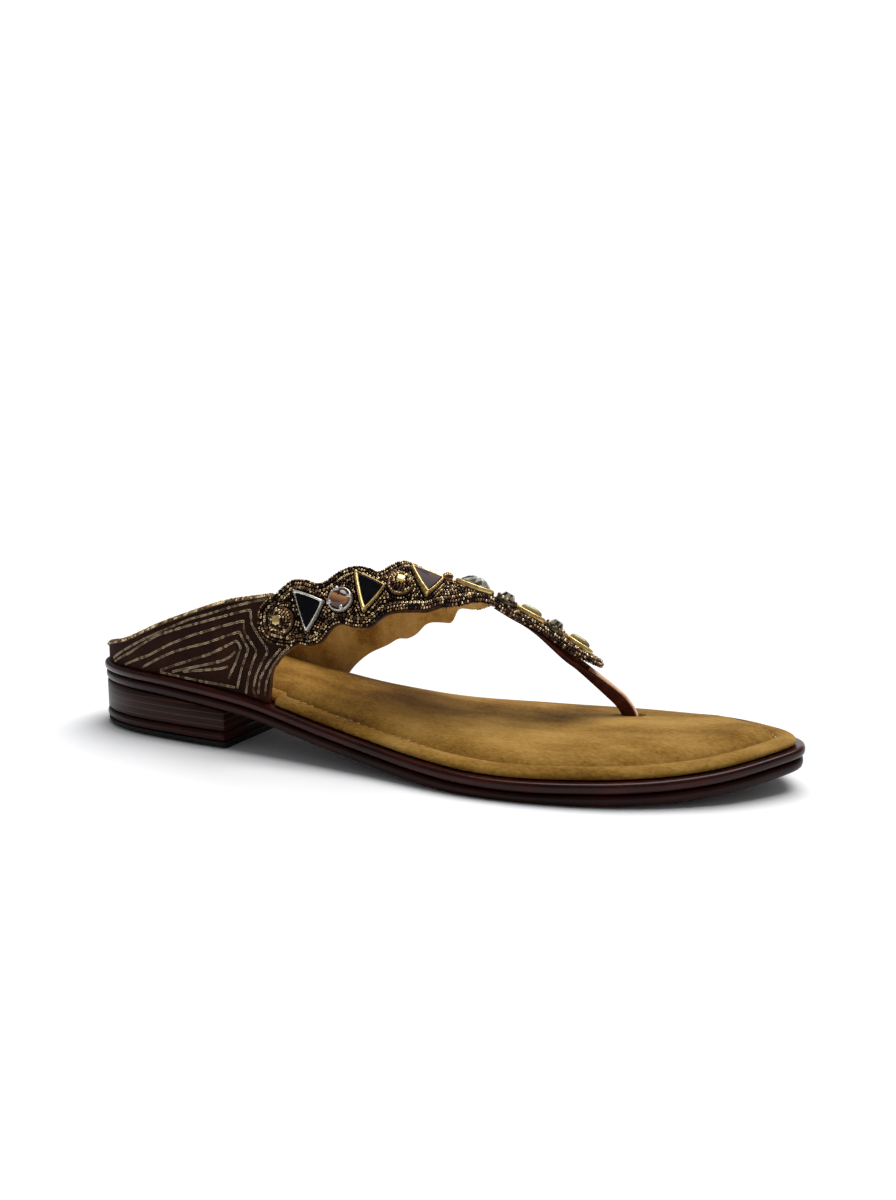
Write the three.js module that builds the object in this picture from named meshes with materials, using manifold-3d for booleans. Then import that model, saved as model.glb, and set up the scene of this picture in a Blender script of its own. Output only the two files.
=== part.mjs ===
import * as THREE from 'three';
import Module from 'manifold-3d';
import { mergeVertices } from 'three/addons/utils/BufferGeometryUtils.js';

// Backless toe-post sandal for the right foot, standing flat and empty.
// Millimetres. While it is shaped, x runs from the back of the heel to the toe,
// y runs to the wearer's left, which is the medial side, and z is up.

// Driving dimensions of the sole
const SOLE_LENGTH = 256;
const HEEL_BREAST = 72;
const WELT_THICKNESS = 3.1;
const OUTSOLE_THICKNESS = 3.5;
const HEEL_TIP_TOP = 2.3;
const HEEL_LIFT_TOP = 5.8;
const SEAM = 0.3;
const HEEL_INSET = 0.7;
const LIFT_BULGE = 0.35;
const TIP_BEVEL = 1.1;
const SOLE_STATIONS = 36;
const HEEL_STATIONS = 15;

// Driving dimensions of the footbed
const LEDGE = 2.6;
const HEEL_CENTRE = 25;
const TOE_CENTRE = 229;
const NOTCH_RAMP = 1.6;
const NOTCH_CLEARANCE = 0.9;
const WALL_CLEARANCE = 0.5;

// Driving dimensions of the upper
const WALL = 2.4;
const STRAP_TIP = 192.8;
const BRIDGE_BACK = 133;
const STRAP_HALF_WIDTH = 6.9;
const STRAP_SCALLOP = 0.7;
const SCALLOP_PITCH = 17.5;
const SCALLOP_CREST = 185.4;
const STRAP_MERGE = { start: 150, end: 161 };
const TIP_FLAT = 0.16;
const tipColumns = [0, 0.8, 2.4];
const SIDE_ROWS = 8;
const COLUMN_STEP = 4.2;
const MIN_COLUMN = 0.9;

// Half widths of the sole on each side, at even steps of the end to end half turn
const soleOutline = [
  { medial: 0, lateral: 0 },
  { medial: 15.2, lateral: 15.2 },
  { medial: 27.2, lateral: 25.1 },
  { medial: 28.6, lateral: 29.5 },
  { medial: 21.8, lateral: 32.2 },
  { medial: 29.4, lateral: 37.6 },
  { medial: 43.8, lateral: 44.3 },
  { medial: 44.0, lateral: 39.8 },
  { medial: 35.4, lateral: 26.9 },
  { medial: 15.6, lateral: 11.1 },
  { medial: 0, lateral: 0 },
];

// Height of the welt's top above the floor: heel seat, shank, ball and toe spring
const soleProfile = [
  { along: 0, height: 24.2 },
  { along: 45, height: 22.7 },
  { along: 80, height: 19.1 },
  { along: 115, height: 12.5 },
  { along: 145, height: 8.1 },
  { along: 170, height: 6.4 },
  { along: 200, height: 7.0 },
  { along: 228, height: 8.8 },
  { along: 256, height: 13.6 },
];

// Rounded edges of the sole layers: inset from the outline and share of the thickness
const weltEdge = [
  { inset: 0.9, rise: 0 },
  { inset: 0.1, rise: 0.25 },
  { inset: 0, rise: 0.6 },
  { inset: 0.3, rise: 0.88 },
  { inset: 1, rise: 1 },
];
const outsoleEdge = [
  { inset: 1.8, rise: 0 },
  { inset: 0.7, rise: 0.22 },
  { inset: 0.45, rise: 0.6 },
  { inset: 0.8, rise: 1 },
];

// Footbed: inset from its edge and rise over the welt, then shares of the way to its middle line
const footbedBorder = [
  { inset: 0.5, rise: 0.3 },
  { inset: 0, rise: 1.1 },
  { inset: 0.5, rise: 2.1 },
  { inset: 2.4, rise: 3 },
  { inset: 4.6, rise: 2.9 },
  { inset: 5.8, rise: 2.3 },
];
const footbedCrown = [
  { inwards: 0.1, rise: 4.2 },
  { inwards: 0.28, rise: 5.9 },
  { inwards: 0.55, rise: 6.8 },
  { inwards: 0.85, rise: 7 },
];

// Top line of the last above the floor, and how boxy its section is there
const lastRidge = [
  { along: 0, height: 62 },
  { along: 60, height: 64 },
  { along: 92, height: 69.5 },
  { along: 110, height: 69 },
  { along: 120, height: 67.5 },
  { along: 128, height: 64.8 },
  { along: 135, height: 61 },
  { along: 142, height: 58.2 },
  { along: 150, height: 55.8 },
  { along: 157, height: 53.2 },
  { along: 165, height: 49.0 },
  { along: 173, height: 44.8 },
  { along: 180, height: 40.2 },
  { along: 188, height: 35.2 },
  { along: 194, height: 31.5 },
  { along: 206, height: 24 },
];
const lastSection = [
  { along: 0, exponent: 2.2 },
  { along: 60, exponent: 2.2 },
  { along: 100, exponent: 2.05 },
  { along: 130, exponent: 1.75 },
  { along: 160, exponent: 1.75 },
  { along: 206, exponent: 1.9 },
];

// Edges of the upper on the last. Girth is in degrees round the section:
// 0 on the top line, -90 at the sole on the lateral side, +90 on the medial side.
const lateralBack = [
  { along: 3, girth: -85 },
  { along: 8, girth: -82.4 },
  { along: 22, girth: -77.8 },
  { along: 46, girth: -63 },
  { along: 67, girth: -52 },
  { along: 87, girth: -48.3 },
  { along: 89.5, girth: -47.5 },
  { along: 91.2, girth: -44.4 },
  { along: 94.6, girth: -39.3 },
  { along: 99.5, girth: -37.6 },
  { along: 107.4, girth: -36.5 },
  { along: 109.6, girth: -32.7 },
  { along: 111.7, girth: -28.7 },
  { along: 116.6, girth: -23.7 },
  { along: 121, girth: -22.7 },
  { along: 125, girth: -21 },
  { along: 126.3, girth: -16 },
  { along: 128.2, girth: -6 },
  { along: 130.2, girth: 3 },
  { along: 133, girth: 13 },
];
const medialBack = [
  { along: 3, girth: 85.4 },
  { along: 8, girth: 83 },
  { along: 22, girth: 78.5 },
  { along: 46, girth: 66 },
  { along: 66, girth: 56.5 },
  { along: 84, girth: 53.5 },
  { along: 92, girth: 52.5 },
  { along: 95, girth: 48 },
  { along: 99, girth: 44.2 },
  { along: 105, girth: 43.2 },
  { along: 110, girth: 42.5 },
  { along: 112.6, girth: 38.5 },
  { along: 116, girth: 34.2 },
  { along: 121, girth: 32.4 },
  { along: 125.5, girth: 31 },
  { along: 128.2, girth: 26 },
  { along: 130.4, girth: 20 },
  { along: 133, girth: 13 },
];
const lateralFront = [
  { along: 90, girth: -90 },
  { along: 90.8, girth: -81.5 },
  { along: 93, girth: -75.6 },
  { along: 96.6, girth: -70.2 },
  { along: 100.8, girth: -66 },
  { along: 106.7, girth: -64.2 },
  { along: 110.6, girth: -60.6 },
  { along: 113.2, girth: -55.2 },
  { along: 121.6, girth: -51.2 },
  { along: 126.6, girth: -48.4 },
  { along: 131.4, girth: -39.8 },
  { along: 139.3, girth: -32.4 },
  { along: 143, girth: -29.8 },
  { along: 147.2, girth: -23.8 },
  { along: 152, girth: -18.6 },
  { along: 157, girth: -12.2 },
];
const medialFront = [
  { along: 92.6, girth: 90 },
  { along: 95.4, girth: 85.8 },
  { along: 102.2, girth: 77.9 },
  { along: 110.4, girth: 70.9 },
  { along: 114.5, girth: 66.9 },
  { along: 118.2, girth: 65.3 },
  { along: 121.5, girth: 62.1 },
  { along: 126.2, girth: 55.2 },
  { along: 132.8, girth: 50.2 },
  { along: 136.2, girth: 48 },
  { along: 140.6, girth: 37.4 },
  { along: 146.8, girth: 33.6 },
  { along: 150.4, girth: 29.6 },
  { along: 153.6, girth: 25 },
  { along: 157, girth: 21.6 },
];

// Centre strap: the line it follows from the bridge of the upper to the toe post
const strapLine = [
  { along: 133, across: 2.2 },
  { along: 150, across: 3 },
  { along: 165, across: 5.4 },
  { along: 180, across: 9 },
  { along: 192, across: 12 },
  { along: 206, across: 14 },
];

// Toe post: centre line, width along the foot and width across it
const toePost = [
  { along: 181.5, height: 32.6, depth: 2.2, width: 7.4 },
  { along: 185.5, height: 30, depth: 2.5, width: 6.8 },
  { along: 189.7, height: 26.7, depth: 3.4, width: 5.4 },
  { along: 194.6, height: 22.6, depth: 4.3, width: 4.2 },
  { along: 199.0, height: 18.7, depth: 4.6, width: 3.5 },
  { along: 201.7, height: 14.9, depth: 4.7, width: 3.4 },
  { along: 203.3, height: 11.0, depth: 4.7, width: 3.4 },
  { along: 204.0, height: 7.9, depth: 4.7, width: 3.4 },
];
const postSection = [
  { up: 1, out: -0.7 },
  { up: 1, out: 0.7 },
  { up: 0.7, out: 1 },
  { up: -0.7, out: 1 },
  { up: -1, out: 0.7 },
  { up: -1, out: -0.7 },
  { up: -0.7, out: -1 },
  { up: 0.7, out: -1 },
];
const POST_SLIT = { along: 203.1, across: 13.7, length: 7.8, width: 4.4 };

// Ornaments on the upper. Spin turns the piece in the surface, in degrees from
// the line towards the toe. Size scales the plan shape.
const ornaments = [
  { name: 'lateral_round_1', plan: 'round', along: 94.7, girth: -58.5, spin: 0, size: 4.5 },
  { name: 'lateral_triangle_1', plan: 'triangle', along: 104.8, girth: -50.1, spin: 0, size: 1 },
  { name: 'lateral_round_2', plan: 'round', along: 115, girth: -43.2, spin: 0, size: 4.2 },
  { name: 'lateral_triangle_2', plan: 'triangle', along: 123.6, girth: -34.7, spin: 1, size: 1 },
  { name: 'lateral_round_3', plan: 'round', along: 132, girth: -24.6, spin: 0, size: 4.2 },
  { name: 'lateral_triangle_3', plan: 'triangle', along: 139.2, girth: -12.6, spin: 8, size: 1 },
  { name: 'medial_round_1', plan: 'round', along: 99.1, girth: 65.3, spin: 0, size: 4.5 },
  { name: 'medial_triangle_1', plan: 'triangle', along: 108, girth: 57.6, spin: 0, size: 1 },
  { name: 'medial_round_2', plan: 'round', along: 117.1, girth: 50.7, spin: 0, size: 4.2 },
  { name: 'medial_triangle_2', plan: 'triangle', along: 124.7, girth: 42.1, spin: 1, size: 1 },
  { name: 'medial_round_3', plan: 'round', along: 133.3, girth: 32.8, spin: 0, size: 3.4 },
  { name: 'medial_triangle_3', plan: 'triangle', along: 139.2, girth: 23.3, spin: 8, size: 1 },
  { name: 'centre_round_1', plan: 'round', along: 142.6, girth: 4.2, spin: 0, size: 1.8 },
  { name: 'centre_navette_1', plan: 'navette', along: 151.6, girth: 5.4, spin: 0, size: 1 },
  { name: 'centre_round_2', plan: 'round', along: 161.6, girth: 7.4, spin: 0, size: 3.6 },
  { name: 'centre_navette_2', plan: 'navette', along: 169.3, girth: 9.4, spin: 6, size: 0.7 },
  { name: 'centre_round_3', plan: 'round', along: 176.9, girth: 11.8, spin: 0, size: 3.6 },
  { name: 'centre_navette_3', plan: 'navette', along: 184.4, girth: 14.6, spin: 14, size: 0.7 },
];
const BEZEL_WALL = 0.9;
const STONE_GAP = 0.3;
const SEAT_LIFT = 0.35;
const SEAT_PASSES = 8;
const ROUND_SIDES = 12;
const NAVETTE = { halfLength: 7, halfWidth: 3.3, point: 1.4 };
const TRIANGLE_BOW = 0.3;
const TRIANGLE_IN_RADIUS = 3.5;
const triangleSteps = [0.05, 0.35, 0.65, 0.95];
const STONE_SHOULDER = { scale: 0.72, rise: 0.7 };
const bezelHeights = { round: 1.9, triangle: 2.2, navette: 2 };
const domeHeights = { round: 3.2, triangle: 2.6, navette: 3.6 };

// Finishes seen on the real sandal
const finishes = {
  mahogany: { color: 0x3a1a14, roughness: 0.35, metalness: 0 },
  stacked: { color: 0x2a1512, roughness: 0.45, metalness: 0 },
  rubber: { color: 0x0c0c0e, roughness: 0.8, metalness: 0 },
  nubuck: { color: 0x8e6a35, roughness: 0.9, metalness: 0 },
  suede: { color: 0x3b1f12, roughness: 0.9, metalness: 0 },
  strip: { color: 0x4a1c10, roughness: 0.45, metalness: 0 },
  silver: { color: 0xc9c4b8, roughness: 0.25, metalness: 1 },
  gold: { color: 0xd0a860, roughness: 0.25, metalness: 1 },
  copper: { color: 0xb87a4a, roughness: 0.25, metalness: 1 },
  onyx: { color: 0x050506, roughness: 0.08, metalness: 0 },
  amber: { color: 0x6b4226, roughness: 0.1, metalness: 0 },
  crystal: { color: 0xb9b79a, roughness: 0.05, metalness: 0 },
};

const degrees = THREE.MathUtils.degToRad;

// Small step for slopes of the last, in millimetres along it and radians round it
const PROBE = 0.005;

// Smooth curve through the rows of a table
function curveOf(rows, xKey, yKey) {
  const count = rows.length;
  const x = rows.map((row) => row[xKey]);
  const y = rows.map((row) => row[yKey]);
  const step = x.slice(1).map((value, i) => value - x[i]);
  const rise = step.map((value, i) => (y[i + 1] - y[i]) / value);
  const slope = y.map((_, i) => {
    if (i === 0) return rise[0];
    if (i === count - 1) return rise[count - 2];
    return (rise[i - 1] * step[i] + rise[i] * step[i - 1]) / (step[i] + step[i - 1]);
  });
  return (value) => {
    const at = Math.min(Math.max(value, x[0]), x[count - 1]);
    let i = 0;
    while (i < count - 2 && at >= x[i + 1]) i += 1;
    const t = (at - x[i]) / step[i];
    const bend = t * t * (3 - 2 * t);
    const start = t * (1 - t) * (1 - t) * step[i] * slope[i];
    const end = t * t * (t - 1) * step[i] * slope[i + 1];
    return y[i] * (1 - bend) + y[i + 1] * bend + start + end;
  };
}

const turns = soleOutline.map((row, i) => ({ turn: (Math.PI * i) / (soleOutline.length - 1), ...row }));
const widthAt = {
  medial: curveOf(turns, 'turn', 'medial'),
  lateral: curveOf(turns, 'turn', 'lateral'),
};
const weltTop = curveOf(soleProfile, 'along', 'height');
const ridge = curveOf(lastRidge, 'along', 'height');
const boxiness = curveOf(lastSection, 'along', 'exponent');
const strapAcross = curveOf(strapLine, 'along', 'across');

const alongOf = (turn) => (SOLE_LENGTH / 2) * (1 - Math.cos(turn));
const turnOf = (along) => Math.acos(1 - (2 * along) / SOLE_LENGTH);

// Point of the sole's outline, moved in square to the edge by the inset
function outlinePoint(turn, side, inset) {
  const sign = side === 'medial' ? 1 : -1;
  const slack = 0.02;
  const before = Math.max(turn - slack, 0);
  const after = Math.min(turn + slack, Math.PI);
  const dx = alongOf(after) - alongOf(before);
  const dy = widthAt[side](after) - widthAt[side](before);
  const length = Math.hypot(dx, dy);
  const atEnd = turn === 0 || turn === Math.PI;
  const normalX = atEnd ? Math.sign(turn - 1) : -dy / length;
  const normalY = atEnd ? 0 : dx / length;
  const x = alongOf(turn) - inset * normalX;
  const y = widthAt[side](turn) - inset * normalY;
  return new THREE.Vector2(x, sign * y);
}

const evenTurns = Array.from({ length: SOLE_STATIONS + 1 }, (_, k) => (Math.PI * k) / SOLE_STATIONS);
const panelFront = { lateral: lateralFront[0].along, medial: medialFront[0].along };
const notchStations = ['lateral', 'medial'].flatMap((side) => {
  const start = panelFront[side] + NOTCH_CLEARANCE;
  return [start, start + NOTCH_RAMP];
});
const footbedTurns = evenTurns.concat(notchStations.map(turnOf)).sort((a, b) => a - b);

// Closed loop round the sole: medial side to the toe, lateral side back to the heel
function soleLoop(turns, insetAt, heightAt) {
  const last = turns.length - 1;
  const medial = turns.map((turn) => ({ turn, side: 'medial' }));
  const lateral = turns.slice(1, last).reverse().map((turn) => ({ turn, side: 'lateral' }));
  return medial.concat(lateral).map(({ turn, side }) => {
    const point = outlinePoint(turn, side, insetAt(alongOf(turn), side));
    return new THREE.Vector3(point.x, point.y, heightAt(point.x));
  });
}

// The same loop for the heel, closed by its straight front face under the arch
function heelLoop(inset, heightAt) {
  const even = Array.from({ length: HEEL_STATIONS + 1 }, (_, k) => (turnOf(HEEL_BREAST) * k) / HEEL_STATIONS);
  const medial = even.map((turn) => ({ turn, side: 'medial' }));
  const lateral = even.slice(1).reverse().map((turn) => ({ turn, side: 'lateral' }));
  return medial.concat(lateral).map(({ turn, side }) => {
    const point = outlinePoint(turn, side, inset);
    const atBreast = turn === even[HEEL_STATIONS];
    const x = atBreast ? HEEL_BREAST : Math.min(point.x, HEEL_BREAST);
    return new THREE.Vector3(x, point.y, heightAt(x));
  });
}

// Triangles with their outer faces turned outwards, whichever way they were listed
function geometryOf(points, triangles) {
  const cross = new THREE.Vector3();
  const volume = triangles.reduce((sum, [i, j, k]) => {
    return sum + cross.crossVectors(points[i], points[j]).dot(points[k]);
  }, 0);
  const faces = volume < 0 ? triangles.map(([i, j, k]) => [i, k, j]) : triangles;
  const geometry = new THREE.BufferGeometry();
  const flat = points.flatMap((point) => [point.x, point.y, point.z]);
  geometry.setAttribute('position', new THREE.Float32BufferAttribute(flat, 3));
  geometry.setIndex(faces.flat());
  geometry.computeVertexNormals();
  return geometry;
}

// Cap that runs from side to side across a loop that starts at the heel
function ladderCap(count) {
  const faces = [[0, 1, count - 1]];
  for (let left = 1, right = count - 1; right - left > 1; left += 1, right -= 1) {
    faces.push([left, left + 1, right]);
    if (right - left > 2) faces.push([left + 1, right - 1, right]);
  }
  return faces;
}

// Walls between loops that follow each other
function loopWalls(levels, count) {
  const faces = [];
  for (let level = 0; level < levels.length - 1; level += 1) {
    const low = levels[level] * count;
    const high = levels[level + 1] * count;
    for (let i = 0; i < count; i += 1) {
      const next = (i + 1) % count;
      faces.push([low + i, high + i, low + next]);
      faces.push([low + next, high + i, high + next]);
    }
  }
  return faces;
}

// Solid through a stack of loops, capped from side to side at both ends
function stackSolid(loops) {
  const count = loops[0].length;
  const top = (loops.length - 1) * count;
  const walls = loopWalls(loops.map((_, level) => level), count);
  const bottomCap = ladderCap(count);
  const topCap = ladderCap(count).map(([i, j, k]) => [top + i, top + k, top + j]);
  return geometryOf(loops.flat(), walls.concat(bottomCap, topCap));
}

// Solid through a stack of loops, closed at both ends by a fan round a middle point
function fanSolid(loops, firstMiddle, lastMiddle) {
  const count = loops[0].length;
  const top = (loops.length - 1) * count;
  const first = loops.length * count;
  const faces = loopWalls(loops.map((_, level) => level), count);
  for (let i = 0; i < count; i += 1) {
    const next = (i + 1) % count;
    faces.push([first, i, next]);
    faces.push([first + 1, top + next, top + i]);
  }
  return geometryOf(loops.flat().concat([firstMiddle, lastMiddle]), faces);
}

// Ring whose cross-section runs through all its loops and closes on the first
function ringSolid(loops) {
  const order = loops.map((_, level) => level).concat([0]);
  return geometryOf(loops.flat(), loopWalls(order, loops[0].length));
}

// Sole layers, each a slab with a rounded edge
function soleLayer(profile, heightAt) {
  return stackSolid(profile.map(({ inset, rise }) => soleLoop(evenTurns, () => inset, (x) => heightAt(x, rise))));
}

function weltGeometry() {
  return soleLayer(weltEdge, (x, rise) => weltTop(x) + (rise - 1) * WELT_THICKNESS);
}

const outsoleTop = (x) => weltTop(x) - WELT_THICKNESS - SEAM;
const outsoleBottom = (x) => Math.max(0, outsoleTop(x) - OUTSOLE_THICKNESS);

function outsoleGeometry() {
  return soleLayer(outsoleEdge, (x, rise) => outsoleBottom(x) + rise * (outsoleTop(x) - outsoleBottom(x)));
}

// Heel block, lift and rubber tip
function heelStackGeometry() {
  const top = (x) => outsoleBottom(x) - SEAM;
  const foot = HEEL_LIFT_TOP + SEAM;
  return stackSolid([
    heelLoop(HEEL_INSET, () => foot),
    heelLoop(HEEL_INSET, top),
  ]);
}

function heelLiftGeometry() {
  const foot = HEEL_TIP_TOP + SEAM;
  const middle = (foot + HEEL_LIFT_TOP) / 2;
  return stackSolid([
    heelLoop(HEEL_INSET, () => foot),
    heelLoop(HEEL_INSET - LIFT_BULGE, () => middle),
    heelLoop(HEEL_INSET, () => HEEL_LIFT_TOP),
  ]);
}

function heelTipGeometry() {
  return stackSolid([
    heelLoop(HEEL_INSET + TIP_BEVEL, () => 0),
    heelLoop(HEEL_INSET, () => TIP_BEVEL),
    heelLoop(HEEL_INSET, () => HEEL_TIP_TOP),
  ]);
}

// Footbed: a thin rolled border, a sewn groove and a soft crowned middle.
// Back from the front of the side panels the border steps in behind them.
function footbedInset(x, side) {
  const front = panelFront[side] + NOTCH_CLEARANCE;
  const past = THREE.MathUtils.smoothstep(x, front, front + NOTCH_RAMP);
  return LEDGE + (WALL + WALL_CLEARANCE) * (1 - past);
}

function footbedLoop({ inset, rise }) {
  return soleLoop(footbedTurns, (x, side) => footbedInset(x, side) + inset, (x) => weltTop(x) + rise);
}

function footbedGeometry() {
  const border = footbedBorder.map(footbedLoop);
  const groove = border[border.length - 1];
  const crown = footbedCrown.map(({ inwards, rise }) => groove.map((point) => {
    const x = THREE.MathUtils.clamp(point.x, HEEL_CENTRE, TOE_CENTRE);
    const turn = turnOf(x);
    const middle = (widthAt.medial(turn) - widthAt.lateral(turn)) / 2;
    const along = THREE.MathUtils.lerp(point.x, x, inwards);
    const across = THREE.MathUtils.lerp(point.y, middle, inwards);
    return new THREE.Vector3(along, across, weltTop(along) + rise);
  }));
  return stackSolid(border.concat(crown));
}

// Surface of the last at a place along the foot and an angle round its girth
function lastPoint(along, girth) {
  const turn = turnOf(along);
  const medial = widthAt.medial(turn) - LEDGE;
  const lateral = widthAt.lateral(turn) - LEDGE;
  const base = weltTop(along) + SEAM;
  const power = 2 / boxiness(along);
  const sine = Math.sin(girth);
  const reach = Math.sign(sine) * Math.abs(sine) ** power;
  const lift = Math.abs(Math.cos(girth)) ** power;
  const y = (medial - lateral) / 2 + ((medial + lateral) / 2) * reach;
  return new THREE.Vector3(along, y, base + (ridge(along) - base) * lift);
}

function slopeAlong(along, girth) {
  return lastPoint(along + PROBE, girth).sub(lastPoint(along - PROBE, girth)).divideScalar(2 * PROBE);
}

function slopeRound(along, girth) {
  return lastPoint(along, girth + PROBE).sub(lastPoint(along, girth - PROBE)).divideScalar(2 * PROBE);
}

function lastNormal(along, girth) {
  const limit = Math.PI / 2 - 2 * PROBE;
  const angle = THREE.MathUtils.clamp(girth, -limit, limit);
  return slopeAlong(along, angle).cross(slopeRound(along, angle)).normalize();
}

// Girth angle at which the last is a given distance across
function girthAcross(along, across) {
  const turn = turnOf(along);
  const medial = widthAt.medial(turn) - LEDGE;
  const lateral = widthAt.lateral(turn) - LEDGE;
  const reach = (across - (medial - lateral) / 2) / ((medial + lateral) / 2);
  return Math.sign(reach) * Math.asin(Math.abs(reach) ** (boxiness(along) / 2));
}

// Half width of the centre strap, with its scallops and its round tip
function strapHalfWidth(along) {
  const wave = Math.cos((2 * Math.PI * (along - SCALLOP_CREST)) / SCALLOP_PITCH);
  const toTip = Math.max(STRAP_TIP - along, 0) / STRAP_HALF_WIDTH;
  const round = toTip < 1 ? Math.sqrt(1 - (1 - toTip) ** 2) : 1;
  return (STRAP_HALF_WIDTH + STRAP_SCALLOP * wave) * Math.max(round, TIP_FLAT);
}

const backEdge = {
  lateral: curveOf(lateralBack, 'along', 'girth'),
  medial: curveOf(medialBack, 'along', 'girth'),
};
const frontEdge = {
  lateral: curveOf(lateralFront, 'along', 'girth'),
  medial: curveOf(medialFront, 'along', 'girth'),
};

// Where the front edge of one side lies: at the sole, on the side, or along the centre strap
function frontGirth(along, side) {
  const sign = side === 'medial' ? 1 : -1;
  const rows = side === 'medial' ? medialFront : lateralFront;
  if (along < rows[0].along) return (sign * Math.PI) / 2;
  const edge = degrees(frontEdge[side](along));
  const strap = girthAcross(along, strapAcross(along) + sign * strapHalfWidth(along));
  const merge = THREE.MathUtils.smoothstep(along, STRAP_MERGE.start, STRAP_MERGE.end);
  return THREE.MathUtils.lerp(edge, strap, merge);
}

// Where the inner end of one side's columns lies: its back edge, or the strap's middle line
function innerGirth(along, side) {
  const middle = girthAcross(along, strapAcross(along));
  if (along >= BRIDGE_BACK) return middle;
  return degrees(backEdge[side](along));
}

// Columns along the foot, with one at each fold of the edges
function upperColumns() {
  const folds = [lateralBack, medialBack, lateralFront, medialFront].flat().map((row) => row.along);
  const fixed = folds.concat(BRIDGE_BACK, tipColumns.map((short) => STRAP_TIP - short));
  const sorted = [...new Set(fixed)].sort((a, b) => a - b);
  const spread = sorted.filter((value, i) => i === 0 || value - sorted[i - 1] > MIN_COLUMN);
  return spread.flatMap((value, i) => {
    if (i === spread.length - 1) return [value];
    const parts = Math.ceil((spread[i + 1] - value) / COLUMN_STEP);
    return Array.from({ length: parts }, (_, k) => value + ((spread[i + 1] - value) * k) / parts);
  });
}

// Wall of real thickness behind a sheet of four-sided faces: its outer and inner
// skins, and an edge along each side that only one face has
function wallSolid(points, normals, quads, thickness) {
  const count = points.length;
  const inner = points.map((point, i) => point.clone().addScaledVector(normals[i], -thickness));
  const edges = new Map();
  const faces = [];
  quads.forEach((quad) => {
    const [a, b, c, d] = quad;
    faces.push([a, b, c], [a, c, d]);
    faces.push([count + a, count + c, count + b], [count + a, count + d, count + c]);
    quad.forEach((from, i) => edges.set(`${from} ${quad[(i + 1) % 4]}`, [from, quad[(i + 1) % 4]]));
  });
  edges.forEach(([from, to]) => {
    if (edges.has(`${to} ${from}`)) return;
    faces.push([to, from, count + from], [to, count + from, count + to]);
  });
  return geometryOf(points.concat(inner), faces);
}

function upperGeometry() {
  const columns = upperColumns();
  const points = [];
  const normals = [];
  const quads = [];
  const addPoint = (along, girth) => {
    points.push(lastPoint(along, girth));
    normals.push(lastNormal(along, girth));
    return points.length - 1;
  };
  const grids = { lateral: [], medial: [] };
  columns.forEach((along) => {
    ['lateral', 'medial'].forEach((side) => {
      const outer = frontGirth(along, side);
      const inner = innerGirth(along, side);
      const shared = side === 'medial' && along >= BRIDGE_BACK;
      const column = Array.from({ length: SIDE_ROWS + 1 }, (_, row) => {
        if (shared && row === SIDE_ROWS) return grids.lateral.at(-1)[SIDE_ROWS];
        return addPoint(along, THREE.MathUtils.lerp(outer, inner, row / SIDE_ROWS));
      });
      grids[side].push(column);
    });
  });
  for (let i = 0; i < columns.length - 1; i += 1) {
    for (let row = 0; row < SIDE_ROWS; row += 1) {
      const lateral = grids.lateral;
      const medial = grids.medial;
      quads.push([lateral[i][row], lateral[i + 1][row], lateral[i + 1][row + 1], lateral[i][row + 1]]);
      quads.push([medial[i][row], medial[i][row + 1], medial[i + 1][row + 1], medial[i + 1][row]]);
    }
  }
  return wallSolid(points, normals, quads, WALL);
}

function middleOf(loop) {
  return loop.reduce((sum, point) => sum.add(point), new THREE.Vector3()).divideScalar(loop.length);
}

// Toe post: a folded leather strip that turns on edge as it goes down to the footbed
function toePostGeometry() {
  const loops = toePost.map((row, i) => {
    const from = toePost[Math.max(i - 1, 0)];
    const to = toePost[Math.min(i + 1, toePost.length - 1)];
    const slope = new THREE.Vector2(to.along - from.along, to.height - from.height).normalize();
    const across = Math.min(strapAcross(row.along), POST_SLIT.across);
    return postSection.map(({ up, out }) => {
      const lift = (up * row.depth) / 2;
      const x = row.along - slope.y * lift;
      const z = row.height + slope.x * lift;
      return new THREE.Vector3(x, across + (out * row.width) / 2, z);
    });
  });
  return fanSolid(loops, middleOf(loops[0]), middleOf(loops.at(-1)));
}

// Plan shapes of the ornaments, drawn round their middle: u towards the toe, v towards the top line
const trianglePlan = [
  { u: -8, v: 4.1 },
  { u: 2.2, v: -8.2 },
  { u: 4.3, v: 3.4 },
];
const plans = {
  round: (size) => Array.from({ length: ROUND_SIDES }, (_, i) => {
    const angle = (2 * Math.PI * i) / ROUND_SIDES;
    return new THREE.Vector2(Math.cos(angle), Math.sin(angle)).multiplyScalar(size);
  }),
  navette: (size) => Array.from({ length: ROUND_SIDES }, (_, i) => {
    const angle = (2 * Math.PI * i) / ROUND_SIDES;
    const sine = Math.sin(angle);
    const v = NAVETTE.halfWidth * Math.sign(sine) * Math.abs(sine) ** NAVETTE.point;
    return new THREE.Vector2(NAVETTE.halfLength * Math.cos(angle), v).multiplyScalar(size);
  }),
  triangle: (size) => trianglePlan.flatMap((corner, i) => {
    const next = trianglePlan[(i + 1) % 3];
    const edge = new THREE.Vector2(next.u - corner.u, next.v - corner.v);
    const outwards = new THREE.Vector2(edge.y, -edge.x).normalize();
    return triangleSteps.map((t) => new THREE.Vector2(corner.u, corner.v)
      .addScaledVector(edge, t)
      .addScaledVector(outwards, TRIANGLE_BOW * 4 * t * (1 - t))
      .multiplyScalar(size));
  }),
};
const inRadius = {
  round: (size) => size,
  navette: (size) => NAVETTE.halfWidth * size,
  triangle: (size) => TRIANGLE_IN_RADIUS * size,
};

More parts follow.
